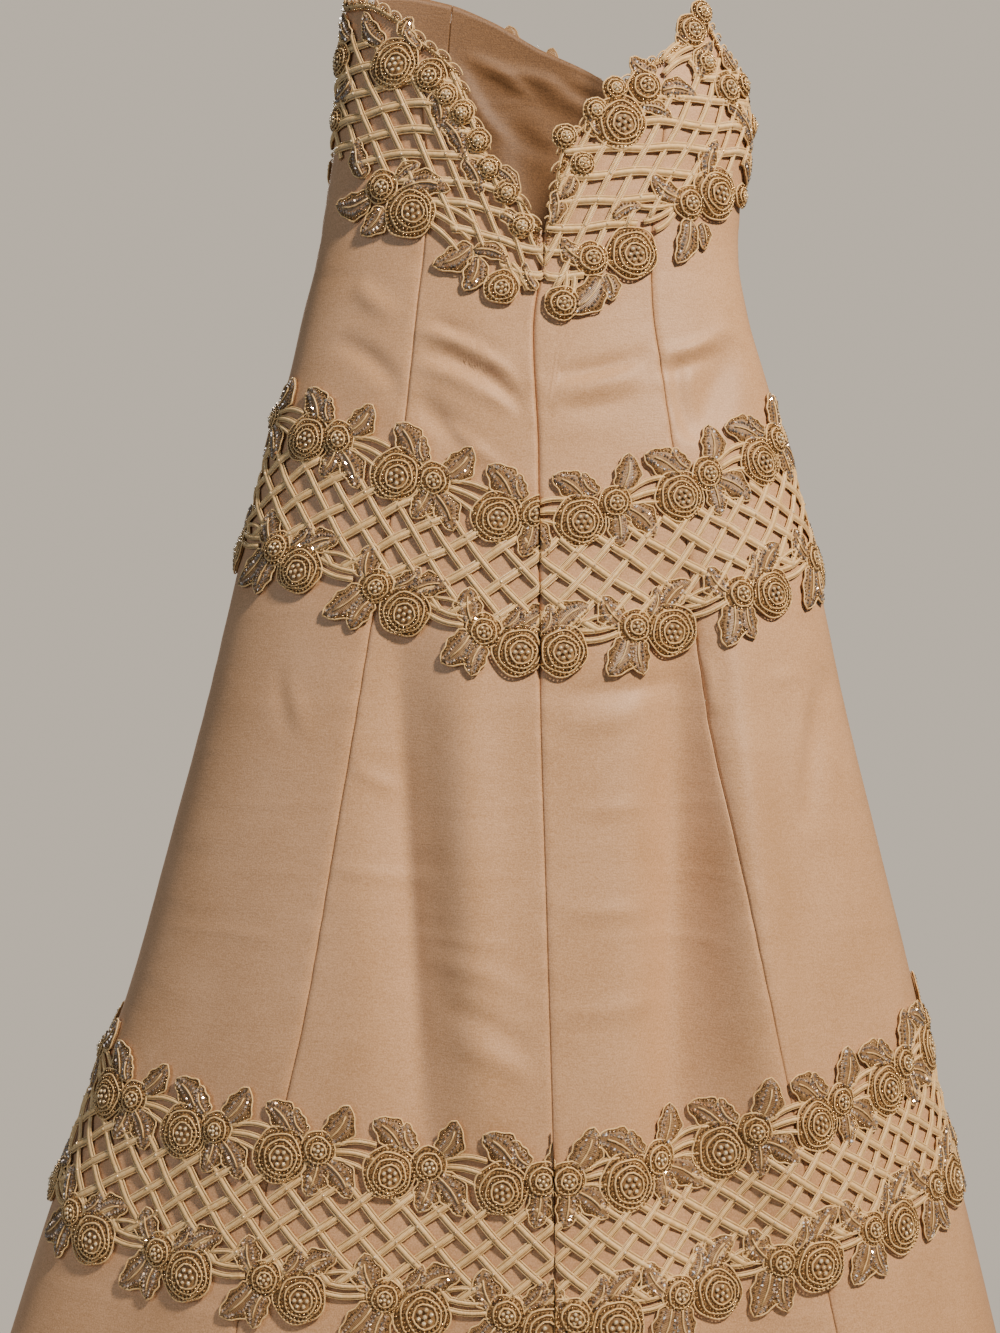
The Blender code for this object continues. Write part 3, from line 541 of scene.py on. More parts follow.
# name: column of the left seam, of the right seam, turn of the right seam, columns of points
panels = {
    "front_centre_left": (2, 1, 0, 46),
    "front_centre_right": (1, 3, 0, 46),
    "front_side_left": (4, 2, 0, 52),
    "front_side_right": (3, 5, 0, 50),
    "back_side_left": (6, 4, 0, 28),
    "back_side_right": (5, 7, 0, 28),
    "back_centre": (7, 6, 360, 34),
}
shell = {
    "rows": 245,
    # share of the rows down to a place, and that place's share of the length: close where the satin creases
    "rowSpacing": ((0, 0.12, 0.38, 0.46, 0.82, 1), (0, 0.12, 0.27, 0.37, 0.68, 1)),
    "evenSpacing": ((0, 1), (0, 1)),
    # columns close to a seam, from it
    "seamSteps": (0.0, 1.2 * mm, 2.6 * mm, 5 * mm, 9 * mm),
    "seamHalf": 0.15 * mm,
    "seamDip": 1.3 * mm,
    "seamWidth": 2.0 * mm,
    "pucker": 0.35 * mm,
    "puckerLength": 0.041,
    "puckerWidth": 9 * mm,
    "zipDip": 2.4 * mm,
    "zipReach": 20 * mm,
    "zipEnd": 0.81,
    "satinWall": 1.5 * mm,
    "liningWall": 1.0 * mm,
    "liningOut": 1.8 * mm,
    "liningRows": 90,
    "liningEnd": 0.304,
    "liningEdge": 14 * mm,
}


def panelGrid(cut, rows, spacing, end=1.0):
    # angle and drop of each point, and its distance from each seam
    leftSeam, rightSeam, turn, columns = cut
    down = np.interp(np.linspace(0, 1, rows + 1), *spacing)[:, None] * end
    middle = np.linspace(0, 1, columns + 1 - 2 * len(shell["seamSteps"]) + 2)[None, 1:-1]
    drop = 0.3 + down * (gown["hemDrop"] - 0.3)
    for _ in range(8):
        left = through(gown["seams"], leftSeam, drop[:, :1])
        right = through(gown["seams"], rightSeam, drop[:, -1:]) + turn
        chord = np.linalg.norm(plainPoint(right, drop[:, -1:]) - plainPoint(left, drop[:, :1]), axis=-1)
        steps = (np.array(shell["seamSteps"])[None, :] + shell["seamHalf"]) / chord
        inner = steps[:, -1:] + middle * (1 - 2 * steps[:, -1:])
        share = np.concatenate([steps, inner, 1 - steps[:, ::-1]], axis=1)
        angle = left + (right - left) * share
        top = topDrop(angle[:1])
        drop = top + down * (gown["hemDrop"] - top)
    return angle, drop, share * chord, (1 - share) * chord


def cutSize(points):
    # width, length and area of a panel laid flat, from its own grid of points
    across = np.linalg.norm(np.diff(points, axis=1), axis=-1)
    down = np.linalg.norm(np.diff(points, axis=0), axis=-1)
    width = across.sum(axis=1).max()
    length = down.sum(axis=0).max()
    area = (across[:-1] * down[:, :-1] + across[1:] * down[:, 1:]).sum() / 2
    return (float(width), float(length)), float(min(area, width * length))


def flatPlaces(points):
    # a UV map in metres: distance across the cloth, and its level, so that the weft lies level
    across = np.linalg.norm(np.diff(points, axis=1), axis=-1)
    u = np.concatenate([np.zeros((len(points), 1)), np.cumsum(across, axis=1)], axis=1)
    u -= u[:, -1:] / 2
    return together(u, points[..., 2]).reshape(-1, 2)


def makeShell(name, points, materials, wall):
    # a panel on its grid of points, thickened inwards, with the last material on its inner side
    rows, columns = points.shape[:2]
    verts = points.reshape(-1, 3)
    piece = makeMesh(name + "_cloth", verts, gridFaces(rows, columns), materials, uv=flatPlaces(points))
    solid = piece.modifiers.new("wall", "SOLIDIFY")
    solid.thickness = wall
    solid.offset = -1.0
    solid.use_even_offset = False
    solid.use_rim = True
    solid.material_offset = len(materials) - 1
    solid.material_offset_rim = 0
    settle(piece, name)
    return piece


def makePanel(name, cut):
    angle, drop, fromLeft, fromRight = panelGrid(cut, shell["rows"], shell["rowSpacing"])
    seam = np.minimum(fromLeft, fromRight)
    dip = np.full(seam.shape, shell["seamDip"])
    if 1 in cut[:2]:
        atZip = (fromRight if cut[1] == 1 else fromLeft) < shell["zipReach"]
        dip = np.where(atZip & (drop < shell["zipEnd"]), shell["zipDip"], dip)
    # the seam pulls the cloth in a little, and puckers it unevenly on both sides
    pucker = shell["pucker"] * np.sin(drop * 2 * math.pi / shell["puckerLength"] + 3 * np.sin(drop * 31))
    pucker = pucker * np.exp(-((seam / shell["puckerWidth"]) ** 2))
    points = gownPoint(angle, drop, pucker - dip * np.exp(-((seam / shell["seamWidth"]) ** 2)))
    piece = makeShell(name, points, [satin, lining], shell["satinWall"])
    flat, area = cutSize(gownPoint(angle, drop, creased=False))


# wrinkles of the lining: across and drop of one end, then of the other, half width, height inwards, bow (mm)
liningCreases = [
    (-74, 262, -32, 330, 6, 4.0, 4), (-66, 256, 0, 300, 5, 3.4, -6), (-50, 268, 30, 286, 5, 2.8, -5),
    (-84, 250, -70, 420, 8, 3.5, 6), (-40, 300, -20, 460, 13, 3.5, 0), (-56, 300, -48, 400, 6, 2.4, 2),
    (0, 276, 70, 312, 7, 2.8, 4), (20, 270, 84, 290, 5, 2.2, 4), (-10, 300, 50, 420, 16, 2.6, 0),
    (-20, 285, 10, 300, 6, -2.5, 0), (-30, 312, 20, 345, 7, -2.2, 3), (30, 306, 60, 380, 8, 2.0, -4),
]


def makeLining(name, cut):
    angle, drop = panelGrid(cut, shell["liningRows"], shell["evenSpacing"], shell["liningEnd"])[:2]
    x = plainPoint(angle, drop)[..., 0]
    wrinkle = np.maximum(creaseHeight(liningCreases, x, drop) * 0.75, -shell["liningOut"] * 0.3)
    # the wrinkles begin below the upper edge
    wrinkle = wrinkle * np.clip((drop - topDrop(angle)) / shell["liningEdge"], 0, 1)
    points = gownPoint(angle, drop, -shell["liningOut"] - wrinkle)
    piece = makeShell(name, points, [lining], shell["liningWall"])
    flat, area = cutSize(gownPoint(angle, drop, -shell["liningOut"], creased=False))


for name, cut in panels.items():
    makePanel(name, cut)
for name, panel in (("left", "back_side_left"), ("centre", "back_centre"), ("right", "back_side_right")):
    makeLining("lining_" + name, panels[panel])
print("satin panels and lining made")

# the lace trim: made flat, a repeat about 90 mm long, then laid on the gown

bands = {
    "neck": {
        "join": 0.5, "repeats": 5, "stretch": 1.08, "left": (-0.100, -0.028), "right": (0.072, 0.078),
        "line": [
            (-180, 0.336), (-150, 0.312), (-120, 0.305), (-90, 0.312), (-60, 0.338), (-36, 0.358),
            (-22, 0.378), (-10, 0.402), (0.5, 0.428), (9, 0.419), (22, 0.400), (38, 0.378),
            (52, 0.364), (70, 0.338), (90, 0.314), (120, 0.318), (150, 0.345), (180, 0.336),
        ],
    },
    "hip": {
        "join": -0.5, "repeats": 6, "stretch": 1.04, "left": (-0.037, -0.016), "right": (0.034, 0.016),
        "line": [
            (-180, 0.642), (-90, 0.642), (-60, 0.653), (-31, 0.686), (-10, 0.722), (-0.5, 0.730),
            (7, 0.727), (28, 0.708), (50, 0.682), (75, 0.660), (90, 0.654), (180, 0.642),
        ],
    },
    "low": {
        "join": 1.2, "repeats": 10, "stretch": 1.03, "left": (-0.042, -0.007), "right": (0.060, 0.044),
        "line": [
            (-180, 1.158), (-90, 1.170), (-70, 1.192), (-50, 1.210), (-26, 1.226), (-12, 1.236),
            (1.2, 1.244), (12, 1.236), (22, 1.220), (36, 1.204), (55, 1.183), (75, 1.163),
            (90, 1.150), (180, 1.158),
        ],
    },
}

rose = {
    # cord rings: share of the radius, and how far the ring's centre is moved, as a share of the radius
    "rings": [(1.0, 0.0, 0.0), (0.80, 0.04, -0.05), (0.61, 0.08, -0.09), (0.43, 0.11, -0.11)],
    "fewRings": [(1.0, 0.0, 0.0), (0.71, 0.05, -0.06), (0.43, 0.09, -0.09)],
    "fewBelow": 17 * mm,
    "ringCord": 0.80 * mm,
    "ringStep": 4.2 * mm,
    "edgeHeight": 3.3 * mm,
    "rise": 3.7 * mm,
    "beadRadius": 1.35 * mm,
    "beadStep": 3.2 * mm,
    "beadLift": 0.4 * mm,
    "pearlRadius": 1.95 * mm,
    "scallops": 5,
    "scallopDepth": 0.038,
    "ovalDepth": 0.02,
    "pearlRing": 0.55,
    "middleLift": 0.8 * mm,
    # the filling under the cords: how far below them, rings and sides of its dome
    "groundDrop": 0.9 * mm,
    "groundRings": 3,
    "groundSides": 16,
    # the filling is darker inside this share of the radius
    "darkInside": 0.45,
}
# the underside of roses and leaves, above the satin
underside = 0.9 * mm


def domed(places, radius, lift=0.0):
    # height of a rose's low dome over a flat place
    share = np.clip((places[..., 0] ** 2 + places[..., 1] ** 2) / radius**2, 0, 1)
    return rose["edgeHeight"] + lift + rose["rise"] * (1 - share)


def roseGround(radius):
    # a closed lens: rings of points on a dome, a rim, and a flat underside
    rings, sides = rose["groundRings"], rose["groundSides"]
    turn = turns(sides)
    share = np.linspace(0.12, 1, rings)[:, None]
    top = together(share * np.cos(turn) * radius, share * np.sin(turn) * radius, 0)
    top[..., 2] = domed(top, radius, -rose["groundDrop"])
    rim = top[-1:].copy()
    rim[..., 2] = underside
    peak = rose["edgeHeight"] - rose["groundDrop"] + rose["rise"]
    verts = np.concatenate([top.reshape(-1, 3), rim.reshape(-1, 3), [[0, 0, peak]], [[0, 0, underside]]])
    k = np.arange(sides)
    centre = len(verts) - 2
    cap = together(k, (k + 1) % sides, centre)
    under = together((k + 1) % sides + rings * sides, k + rings * sides, centre + 1)
    faces = np.concatenate([asTriangles(gridFaces(rings + 1, sides, wrap=True)), cap, under])
    fromMiddle = np.linalg.norm(verts[:, :2], axis=1)
    shade = np.where(fromMiddle < rose["darkInside"] * radius, 0.8, 0.1)
    return verts, faces, together(fromMiddle, shade)


def makeRose(radius):
    # rings of cord that lie off centre like petals, rows of beads between them and pearls in the middle
    large = radius > rose["fewBelow"]
    rings = rose["rings"] if large else rose["fewRings"]
    cords, beads, middles = [], [], []
    for share, moveX, moveY in rings:
        turn = turns(max(int(share * radius * 2 * math.pi / rose["ringStep"]), 10))
        lobe = 1 + rose["scallopDepth"] * np.cos(rose["scallops"] * turn + share * 9)
        lobe = share * radius * (lobe + rose["ovalDepth"] * np.cos(2 * turn + share * 5))
        a, b = np.cos(turn) * lobe + moveX * radius, np.sin(turn) * lobe + moveY * radius
        path = together(a, b, 0)
        path[:, 2] = domed(path, radius)
        middles.append(path.mean(axis=0))
        cords.append(sweep(path, roundProfile(rose["ringCord"], 4), closed=True))
    for number in range(len(rings) - 1):
        size = (rings[number][0] + rings[number + 1][0]) / 2 * radius
        count = max(int(size * 2 * math.pi / rose["beadStep"]), 5)
        turn = turns(count) + number
        places = together(np.cos(turn), np.sin(turn), 0) * size
        places += (middles[number] + middles[number + 1]) / 2
        places[:, 2] = domed(places, radius, rose["beadLift"])
        beads.append(beadMesh(places, chance.uniform(0.85, 1.12, count) * rose["beadRadius"], sides=4))
    share, moveX, moveY = rings[-1]
    turn = turns(6 if large else 5)
    places = together(np.cos(turn), np.sin(turn), 0) * share * radius * rose["pearlRing"]
    places = np.concatenate([places, [[0, 0, 0]]]) + [moveX * radius, moveY * radius, 0]
    places[:, 2] = domed(places, radius, rose["beadLift"])
    places[-1, 2] += rose["middleLift"]
    pearls = beadMesh(places, np.full(len(places), rose["pearlRadius"] * (1.0 if large else 0.85)))
    return {"cord": joined(cords), "thread": roseGround(radius), "bead": joined(beads), "pearl": pearls}


leaf = {
    # its outline: how far its widest place is towards the base, how blunt it is, and its teeth
    "widest": 0.8,
    "bluntness": 0.65,
    "toothDepth": 0.10,
    "toothTurns": 17,
    "edgeHeight": 3.1 * mm,
    "rise": 1.5 * mm,
    "outlineCord": 0.75 * mm,
    "veinCord": 0.70 * mm,
    "stoneRadius": 1.65 * mm,
    "stoneStep": 3.1 * mm,
    "stoneTilt": 0.35,
    "stoneSink": 0.3 * mm,
    "beadRadius": 1.20 * mm,
    "groundDrop": 0.6 * mm,
    "fourRowsFrom": 15.5 * mm,
}


def makeLeaf(length, width, bend=0.12):
    # two arcs from base to tip with a few blunt teeth, a bent vein and rows of stones beside it
    s = np.linspace(0, 1, 13)
    spine = together(s * length, bend * length * np.sin(math.pi * s), 0)
    half = width / 2 * np.sin(math.pi * s ** leaf["widest"]) ** leaf["bluntness"]
    half = half * (1 + leaf["toothDepth"] * np.sin(s * leaf["toothTurns"] - 1.0))
    sideways = together(0, half, 0)
    outline = np.concatenate([spine - sideways, (spine + sideways)[-2:0:-1]])
    outline[:, 2] = leaf["edgeHeight"]
    vein = spine[1:-2:2].copy()
    vein[:, 2] = leaf["edgeHeight"] + leaf["rise"]
    cords = [
        sweep(outline, roundProfile(leaf["outlineCord"], 4), closed=True),
        sweep(vein, roundProfile(leaf["veinCord"], 4)),
    ]
    # the filling is a grid across the leaf, higher along the vein, closed by a copy of itself below
    across = np.array([-0.96, -0.5, 0, 0.5, 0.96])
    grid = spine[::2, None, :] + sideways[::2, None, :] * across[:, None]
    grid[..., 2] = leaf["edgeHeight"] - leaf["groundDrop"] + leaf["rise"] * (1 - across**2)
    below = grid.copy()
    below[..., 2] = underside
    rows, columns = grid.shape[:2]
    count = rows * columns
    upper = asTriangles(gridFaces(rows, columns))
    rim = np.concatenate([
        np.arange(columns), np.arange(2, rows + 1) * columns - 1,
        np.arange(count - 2, count - columns - 1, -1), np.arange(rows - 2, 0, -1) * columns,
    ])
    after = np.roll(rim, -1)
    walls = together(rim, after, after + count, rim + count)
    verts = np.concatenate([grid.reshape(-1, 3), below.reshape(-1, 3)])
    faces = np.concatenate([upper, upper[:, ::-1] + count, asTriangles(walls)])
    ground = (verts, faces, together(verts[:, 0], 0.25))
    stones, beads = [], []
    fourRows = ((-0.75, beads), (-0.42, stones), (0.42, stones), (0.75, beads))
    twoRows = ((-0.45, stones), (0.45, beads))
    for side, kind in fourRows if width > leaf["fourRowsFrom"] else twoRows:
        row = spine + sideways * side
        row[:, 2] = leaf["edgeHeight"] + leaf["rise"] * (1 - side * side) - leaf["stoneSink"]
        kind.append(spaced(row[1:-1] if abs(side) < 0.6 else row[2:-2], leaf["stoneStep"]))
    places = np.concatenate(stones)
    stones = glintMesh(places, chance.uniform(0.8, 1.2, len(places)) * leaf["stoneRadius"])
    places = np.concatenate(beads)
    beads = beadMesh(places, chance.uniform(0.85, 1.15, len(places)) * leaf["beadRadius"], sides=4)
    return {"cord": joined(cords), "bed": ground, "glint": stones, "bead": beads}


# outline of a padded bar between two thin edge cords: across, up (mm)
barOutline = np.array(
    [(-2.8, 0.0), (-3.4, 0.8), (-2.75, 1.5), (-2.05, 0.6), (-1.4, 1.9), (0, 2.4),
     (1.4, 1.9), (2.05, 0.6), (2.75, 1.5), (3.4, 0.8), (2.8, 0.0)]
) * mm
# painted shade at each outline point: darkest in the two grooves and at the foot beside the cloth
barPaintedShade = np.array([0.8, 0.1, 0, 0.9, 0, 0, 0, 0.9, 0, 0.1, 0.8])
barWidth = 6.8
barLift = 1.6 * mm


def makeBar(start, end, width, sag):
    # a short padded bar that bows sideways a little
    s = np.linspace(0, 1, 7)[:, None]
    start = np.array(start, dtype=float) * mm
    end = np.array(end, dtype=float) * mm
    run = end - start
    sideways = np.array([-run[1], run[0]]) / np.linalg.norm(run)
    flat = start + run * s + sideways * sag * mm * np.sin(math.pi * s)
    path = np.concatenate([flat, 0 * s + barLift], axis=1)
    return {"cord": sweep(path, barOutline * [width / barWidth, 1.0], paintedShade=barPaintedShade)}


bigRose = makeRose(21.5 * mm)
smallRose = makeRose(14 * mm)
roses = {"big": bigRose, "small": smallRose, "tiny": makeRose(10 * mm), "tab": makeRose(14 * mm)}


def turnedFlat(part, degrees, place):
    # a flat part turned about its own centre, then moved
    turn = math.radians(degrees)
    cosine, sine = math.cos(turn), math.sin(turn)
    made = {}
    for finish, (verts, faces, marks) in part.items():
        moved = verts.copy()
        moved[:, 0] = verts[:, 0] * cosine - verts[:, 1] * sine + place[0] * mm
        moved[:, 1] = verts[:, 0] * sine + verts[:, 1] * cosine + place[1] * mm
        made[finish] = (moved, faces, marks)
    return made


def leafBetween(base, tip, width, bend=0.12):
    # base and tip in mm from the big rose's centre
    length = math.dist(base, tip)
    degrees = math.degrees(math.atan2(tip[1] - base[1], tip[0] - base[0]))
    return turnedFlat(makeLeaf(length * mm, width * mm, bend), degrees, base)


# each border's group of flowers: the part's centre for the edge test, and the part, in mm from the big rose
upperSpray = [
    ((-6, 30), leafBetween((8, 18), (-18, 38), 24, -0.10)),
    ((13, 29), leafBetween((18, 18), (8, 38), 17, 0.18)),
    ((43, 32), leafBetween((37, 16), (51, 46), 24, -0.10)),
    ((31, -14), leafBetween((31, 0), (27, -27), 20, 0.05)),
    ((48, -10), leafBetween((36, 2), (60, -24), 23, 0.10)),
    ((57, 18), makeBar((42, 14), (76, 19), 4.6, 3)),
    ((57, 11), makeBar((43, 9), (76, 8), 5.6, 2)),
    ((57, 4), makeBar((42, 4), (76, -4), 4.0, 2)),
    ((0, 0), bigRose),
    ((30, 9), turnedFlat(smallRose, 0, (30, 9))),
]
lowerSpray = [
    ((-45, 26), leafBetween((-38, 12), (-50, 39), 24, 0.10)),
    ((-10, 26), leafBetween((-16, 14), (-3, 37), 17, -0.15)),
    ((11, 26), leafBetween((-2, 16), (26, 35), 22, 0.10)),
    ((-51, -12), leafBetween((-37, 3), (-60, -26), 24, 0.08)),
    ((-31, -16), leafBetween((-29, -1), (-32, -30), 20, -0.10)),
    ((30, 14), makeBar((16, 14), (50, 15), 5.2, -2)),
    ((32, 8), makeBar((17, 6), (50, 8), 5.0, -2)),
    ((32, 24), makeBar((18, 20), (50, 21), 3.8, 3)),
    ((0, 0), bigRose),
    ((-30, 9), turnedFlat(smallRose, 0, (-30, 9))),
]

trellis = {
    "diamonds": 3,
    "angle": math.radians(40),
    "zone": 37 * mm,
    "neckZone": 62 * mm,
    "pointDrop": 25 * mm,
    "pointLeft": 120 * mm,
    "pointRight": 45 * mm,
    "lean": 0.5,
    "leanReach": 200 * mm,
    "leanSoft": 25 * mm,
    "levelSpace": 0.76,
    "steepSpace": 1.36,
    "knotRows": 2.5,
    "step": 5.4 * mm,
    "height": 1.5 * mm,
    "weave": 0.65 * mm,
    # how far a bar strays at random, how far it sways, and over what length
    "stray": 0.8 * mm,
    "sway": 1.1 * mm,
    "swayLength": 11 * mm,
    "knotRadius": 1.3 * mm,
    "knotLift": 4.4 * mm,
    "knotShare": 0.7,
    "knotInset": 2 * mm,
    "knotBelowEdge": 6 * mm,
    "bigHeight": 49 * mm,
    "joinHalf": 0.4 * mm,
    "pastEnds": 9 * mm,
    "flowerTilt": 14,
    "leafTilt": 4,
    "underEdge": 1 * mm,
    "bandHeight": 0.150,
    "clothShare": 0.42,
}


def makeHalf(name, side):
    # the ruler of half a band: angle against distance along its centre line from the near join
    band = bands[name]
    angle = np.linspace(band["join"], 180.0 * side, 500)
    points = gownPoint(angle, through(band["line"], 1, angle), creased=False)
    length = lengthAlong(points) * side
    order = np.argsort(length)
    whole = abs(length[-1])
    return {
        "line": band["line"],
        "stretch": band["stretch"],
        "lengths": length[order],
        "angles": angle[order],
        "low": trellis["joinHalf"] if side > 0 else -whole + trellis["joinHalf"],
        "high": whole - trellis["joinHalf"] if side > 0 else -trellis["joinHalf"],
        "repeat": whole / band["repeats"],
        "phases": band["right"] if side > 0 else band["left"],
        "neck": name == "neck",
        "whole": whole,
    }


def onBand(half, u, t, out):
    angle = np.interp(u, half["lengths"], half["angles"])
    drop = through(half["line"], 1, angle) - t * half["stretch"]
    return gownPoint(angle, drop, out)


def edgeHeight(half, u):
    # height of the gown's upper edge above the band's centre line
    angle = np.interp(u, half["lengths"], half["angles"])
    return (through(half["line"], 1, angle) - topDrop(angle)) / half["stretch"]


def localScale(half, u, t):
    # how the band's flat coordinates stretch and lean at a place
    step = 1 * mm
    u = np.clip(u, half["low"] + step, half["high"] - 2 * step)
    here = onBand(half, u, t, 0.0)
    alongU = (onBand(half, u + step, t, 0.0) - here) / step
    alongT = (onBand(half, u, t + step, 0.0) - here) / step
    size = np.linalg.norm(alongU, axis=-1)
    lean = (alongT * alongU).sum(axis=-1) / size
    rest = alongT - alongU / size[..., None] * lean[..., None]
    return size, lean, np.linalg.norm(rest, axis=-1)


def laidOut(half, u, t, part, centre, turn, size):
    # copies of a flat part round each anchor (u, t): turned and sized about the part's own centre
    scaleU, lean, rise = localScale(half, u, t)
    middle = np.array(centre) * mm
    cosine, sine = np.cos(turn) * size, np.sin(turn) * size
    made = {}
    for finish, (verts, faces, marks) in part.items():
        a = verts[None, :, 0] - middle[0]
        b = verts[None, :, 1] - middle[1]
        x = a * cosine[:, None] - b * sine[:, None] + middle[0]
        y = a * sine[:, None] + b * cosine[:, None] + middle[1]
        dt = y / rise[:, None]
        du = (x - lean[:, None] * dt) / scaleU[:, None]
        placed = together(u[:, None] + du, t[:, None] + dt, verts[None, :, 2])
        count = verts.shape[0]
        allFaces = faces[None] + (np.arange(len(u)) * count)[:, None, None]
        made[finish] = (placed.reshape(-1, 3), allFaces.reshape(-1, 3), np.tile(marks, (len(u), 1)))
    return made


def laySprays(half, spray, phase, level, heap):
    # a border: each part of its group is laid at every repeat where it lies on the band
    count = int(half["whole"] / half["repeat"]) + 3
    u = phase + np.arange(-count, count + 1) * half["repeat"]
    t = np.full(len(u), level)
    scaleU, lean, rise = localScale(half, u, t)
    for centre, part in spray:
        dt = centre[1] * mm / rise
        partU = u + (centre[0] * mm - lean * dt) / scaleU
        keep = (partU > half["low"] - trellis["pastEnds"]) & (partU < half["high"] + trellis["pastEnds"])
        if half["neck"]:
            # the near side of the neckline is laid one by one from the neckline's lists
            facing = np.interp(partU, half["lengths"], half["angles"])
            keep &= (np.abs(facing) > neckline["nearAngle"]) & (t + dt < edgeHeight(half, partU))
        if not keep.any():
            continue
        count = int(keep.sum())
        turn = np.radians(chance.normal(0, trellis["flowerTilt" if "pearl" in part else "leafTilt"], count))
        # bars keep their slant
        if "glint" not in part and "pearl" not in part:
            turn *= 0
        size = chance.uniform(0.94, 1.05, count)
        for finish, mesh in laidOut(half, u[keep], t[keep], part, centre, turn, size).items():
            heap[finish].append(mesh)


def lowerZone(half, u):
    # the neck band's trellis reaches lower towards the point of the V
    reach = trellis["pointLeft"] if half["high"] < 0.1 else trellis["pointRight"]
    return -trellis["zone"] - trellis["pointDrop"] * np.exp(-((u / reach) ** 4))


def leanAt(half, u):
    # the neck band's trellis sinks towards the point of the V, so that one family of bars lies level
    near = trellis["leanReach"] - np.abs(u)
    near = (near + np.hypot(near, trellis["leanSoft"])) / 2
    return -trellis["lean"] * near if half["neck"] else 0 * u


def layTrellis(half, heap):
    # two families of padded bars cross at a slant and pass over and under each other
    halfU = half["repeat"] / trellis["diamonds"] / 2
    halfT = halfU * math.tan(trellis["angle"])
    slope = 1 / math.tan(trellis["angle"])
    space = {1: 2 * halfU, -1: 2 * halfU}
    zone = top = trellis["zone"]
    knotTop = trellis["knotRows"] * halfT
    low, high = half["low"], half["high"]
    if half["neck"]:
        level = 1 if high < 0.1 else -1
        space[level] *= trellis["levelSpace"]
        space[-level] *= trellis["steepSpace"]
        zone = trellis["neckZone"]
        top = knotTop = zone + trellis["lean"] * trellis["leanReach"]
    t = np.linspace(-zone, top, int((zone + top) / math.sin(trellis["angle"]) / trellis["step"]) + 1)
    numbers = {}
    for way in (1, -1):
        own, other = space[way], space[-way]
        numbers[way] = np.arange(int((low - top * slope) / own) - 1, int((high + top * slope) / own) + 2)
        for k in numbers[way]:
            wander = chance.normal(0, trellis["stray"])
            wander = wander + trellis["sway"] * np.sin(t / trellis["swayLength"] + k * 2.1)
            u = k * own + way * t * slope + wander
            over = np.cos(math.pi * (k * own + way * 2 * t * slope) / other) * (-1.0) ** k
            sunk = t + leanAt(half, u)
            path = together(u, sunk, trellis["height"] + way * trellis["weave"] * over)
            inside = (u > low - trellis["step"]) & (u < high + trellis["step"])
            if half["neck"]:
                highest = np.minimum(edgeHeight(half, u) + trellis["step"], zone)
                inside &= (sunk < highest) & (sunk > lowerZone(half, u))
            ends = np.flatnonzero(np.diff(np.concatenate([[False], inside, [False]]).astype(int)))
            for start, stop in ends.reshape(-1, 2):
                if stop - start > 2:
                    heap["bars"].append(sweep(path[start:stop], barOutline, paintedShade=barPaintedShade))
    # a bead on most of the places where two bars cross
    rising, falling = np.meshgrid(numbers[1] * space[1], numbers[-1] * space[-1])
    u = (rising + falling).ravel() / 2
    t = (falling - rising).ravel() / 2 / slope
    crossing = (t > -trellis["knotRows"] * halfT) & (t < knotTop)
    u, t = u[crossing], t[crossing] + leanAt(half, u[crossing])
    keep = chance.uniform(0, 1, len(u)) < trellis["knotShare"]
    keep &= (u > low + trellis["knotInset"]) & (u < high - trellis["knotInset"])
    if half["neck"]:
        keep &= t < np.minimum(edgeHeight(half, u) - trellis["knotBelowEdge"], zone)
        keep &= t > lowerZone(half, u) + trellis["knotInset"]
    knots = together(u, t, trellis["knotLift"])[keep]
    heap["pearl"].append(beadMesh(knots, np.full(len(knots), trellis["knotRadius"])))


def clipped(half, mesh, toEdge=False, whole=False):
    # what lies beyond the band's ends, or beyond the gown's edge, is cut off flat; with whole, a part is
    # kept only if all of it is inside
    verts, faces, marks = mesh
    # parts follow each other in the array: a new one starts where no face reaches across
    reach = np.zeros(len(verts) + 1, dtype=int)
    np.add.at(reach, faces.min(axis=1), 1)
    np.add.at(reach, faces.max(axis=1), -1)
    part = np.concatenate([[0], np.cumsum(np.cumsum(reach[: len(verts) - 1]) == 0)])
    outside = (verts[:, 0] > half["high"]) | (verts[:, 0] < half["low"])
    verts = verts.copy()
    if toEdge and half["neck"]:
        limit = edgeHeight(half, verts[:, 0]) - trellis["underEdge"]
        outside |= verts[:, 1] > limit
        verts[:, 1] = np.minimum(verts[:, 1], limit)
    verts[:, 0] = np.clip(verts[:, 0], half["low"], half["high"])
    count = np.bincount(part, outside)
    gone = count > 0 if whole else count == np.bincount(part)
    faces = faces[~gone[part[faces[:, 0]]]]
    used = np.unique(faces)
    number = np.zeros(len(verts), dtype=int)
    number[used] = np.arange(len(used))
    return verts[used], number[faces], marks[used]


edging = {
    "rows": 4,
    "vHalf": 26 * mm,
    "step": 3.5 * mm,
    "inset": 1.8 * mm,
    "lift": 1.2 * mm,
    # share of the trellis bar's width and height
    "barSize": (0.62, 0.9),
    "rowSpace": 3.2 * mm,
    "rowLift": 1.6 * mm,
    "beadStep": 2.7 * mm,
    "beadRadius": 1.15 * mm,
    "nearAngle": 88,
    "scallopStep": 13 * mm,
    "scallopRadius": (5.5, 7.5),
    "scallopCord": 0.8 * mm,
    # beads in a scallop: along, up, out (mm)
    "scallopBeads": [
        (0, 3.2, 1.6), (2.6, 2.0, 1.6), (-2.6, 2.0, 1.6), (0, 0.6, 1.9), (4.2, 0.2, 1.6), (-4.2, 0.2, 1.6),
    ],
    "scallopBeadRadius": 1.25 * mm,
}


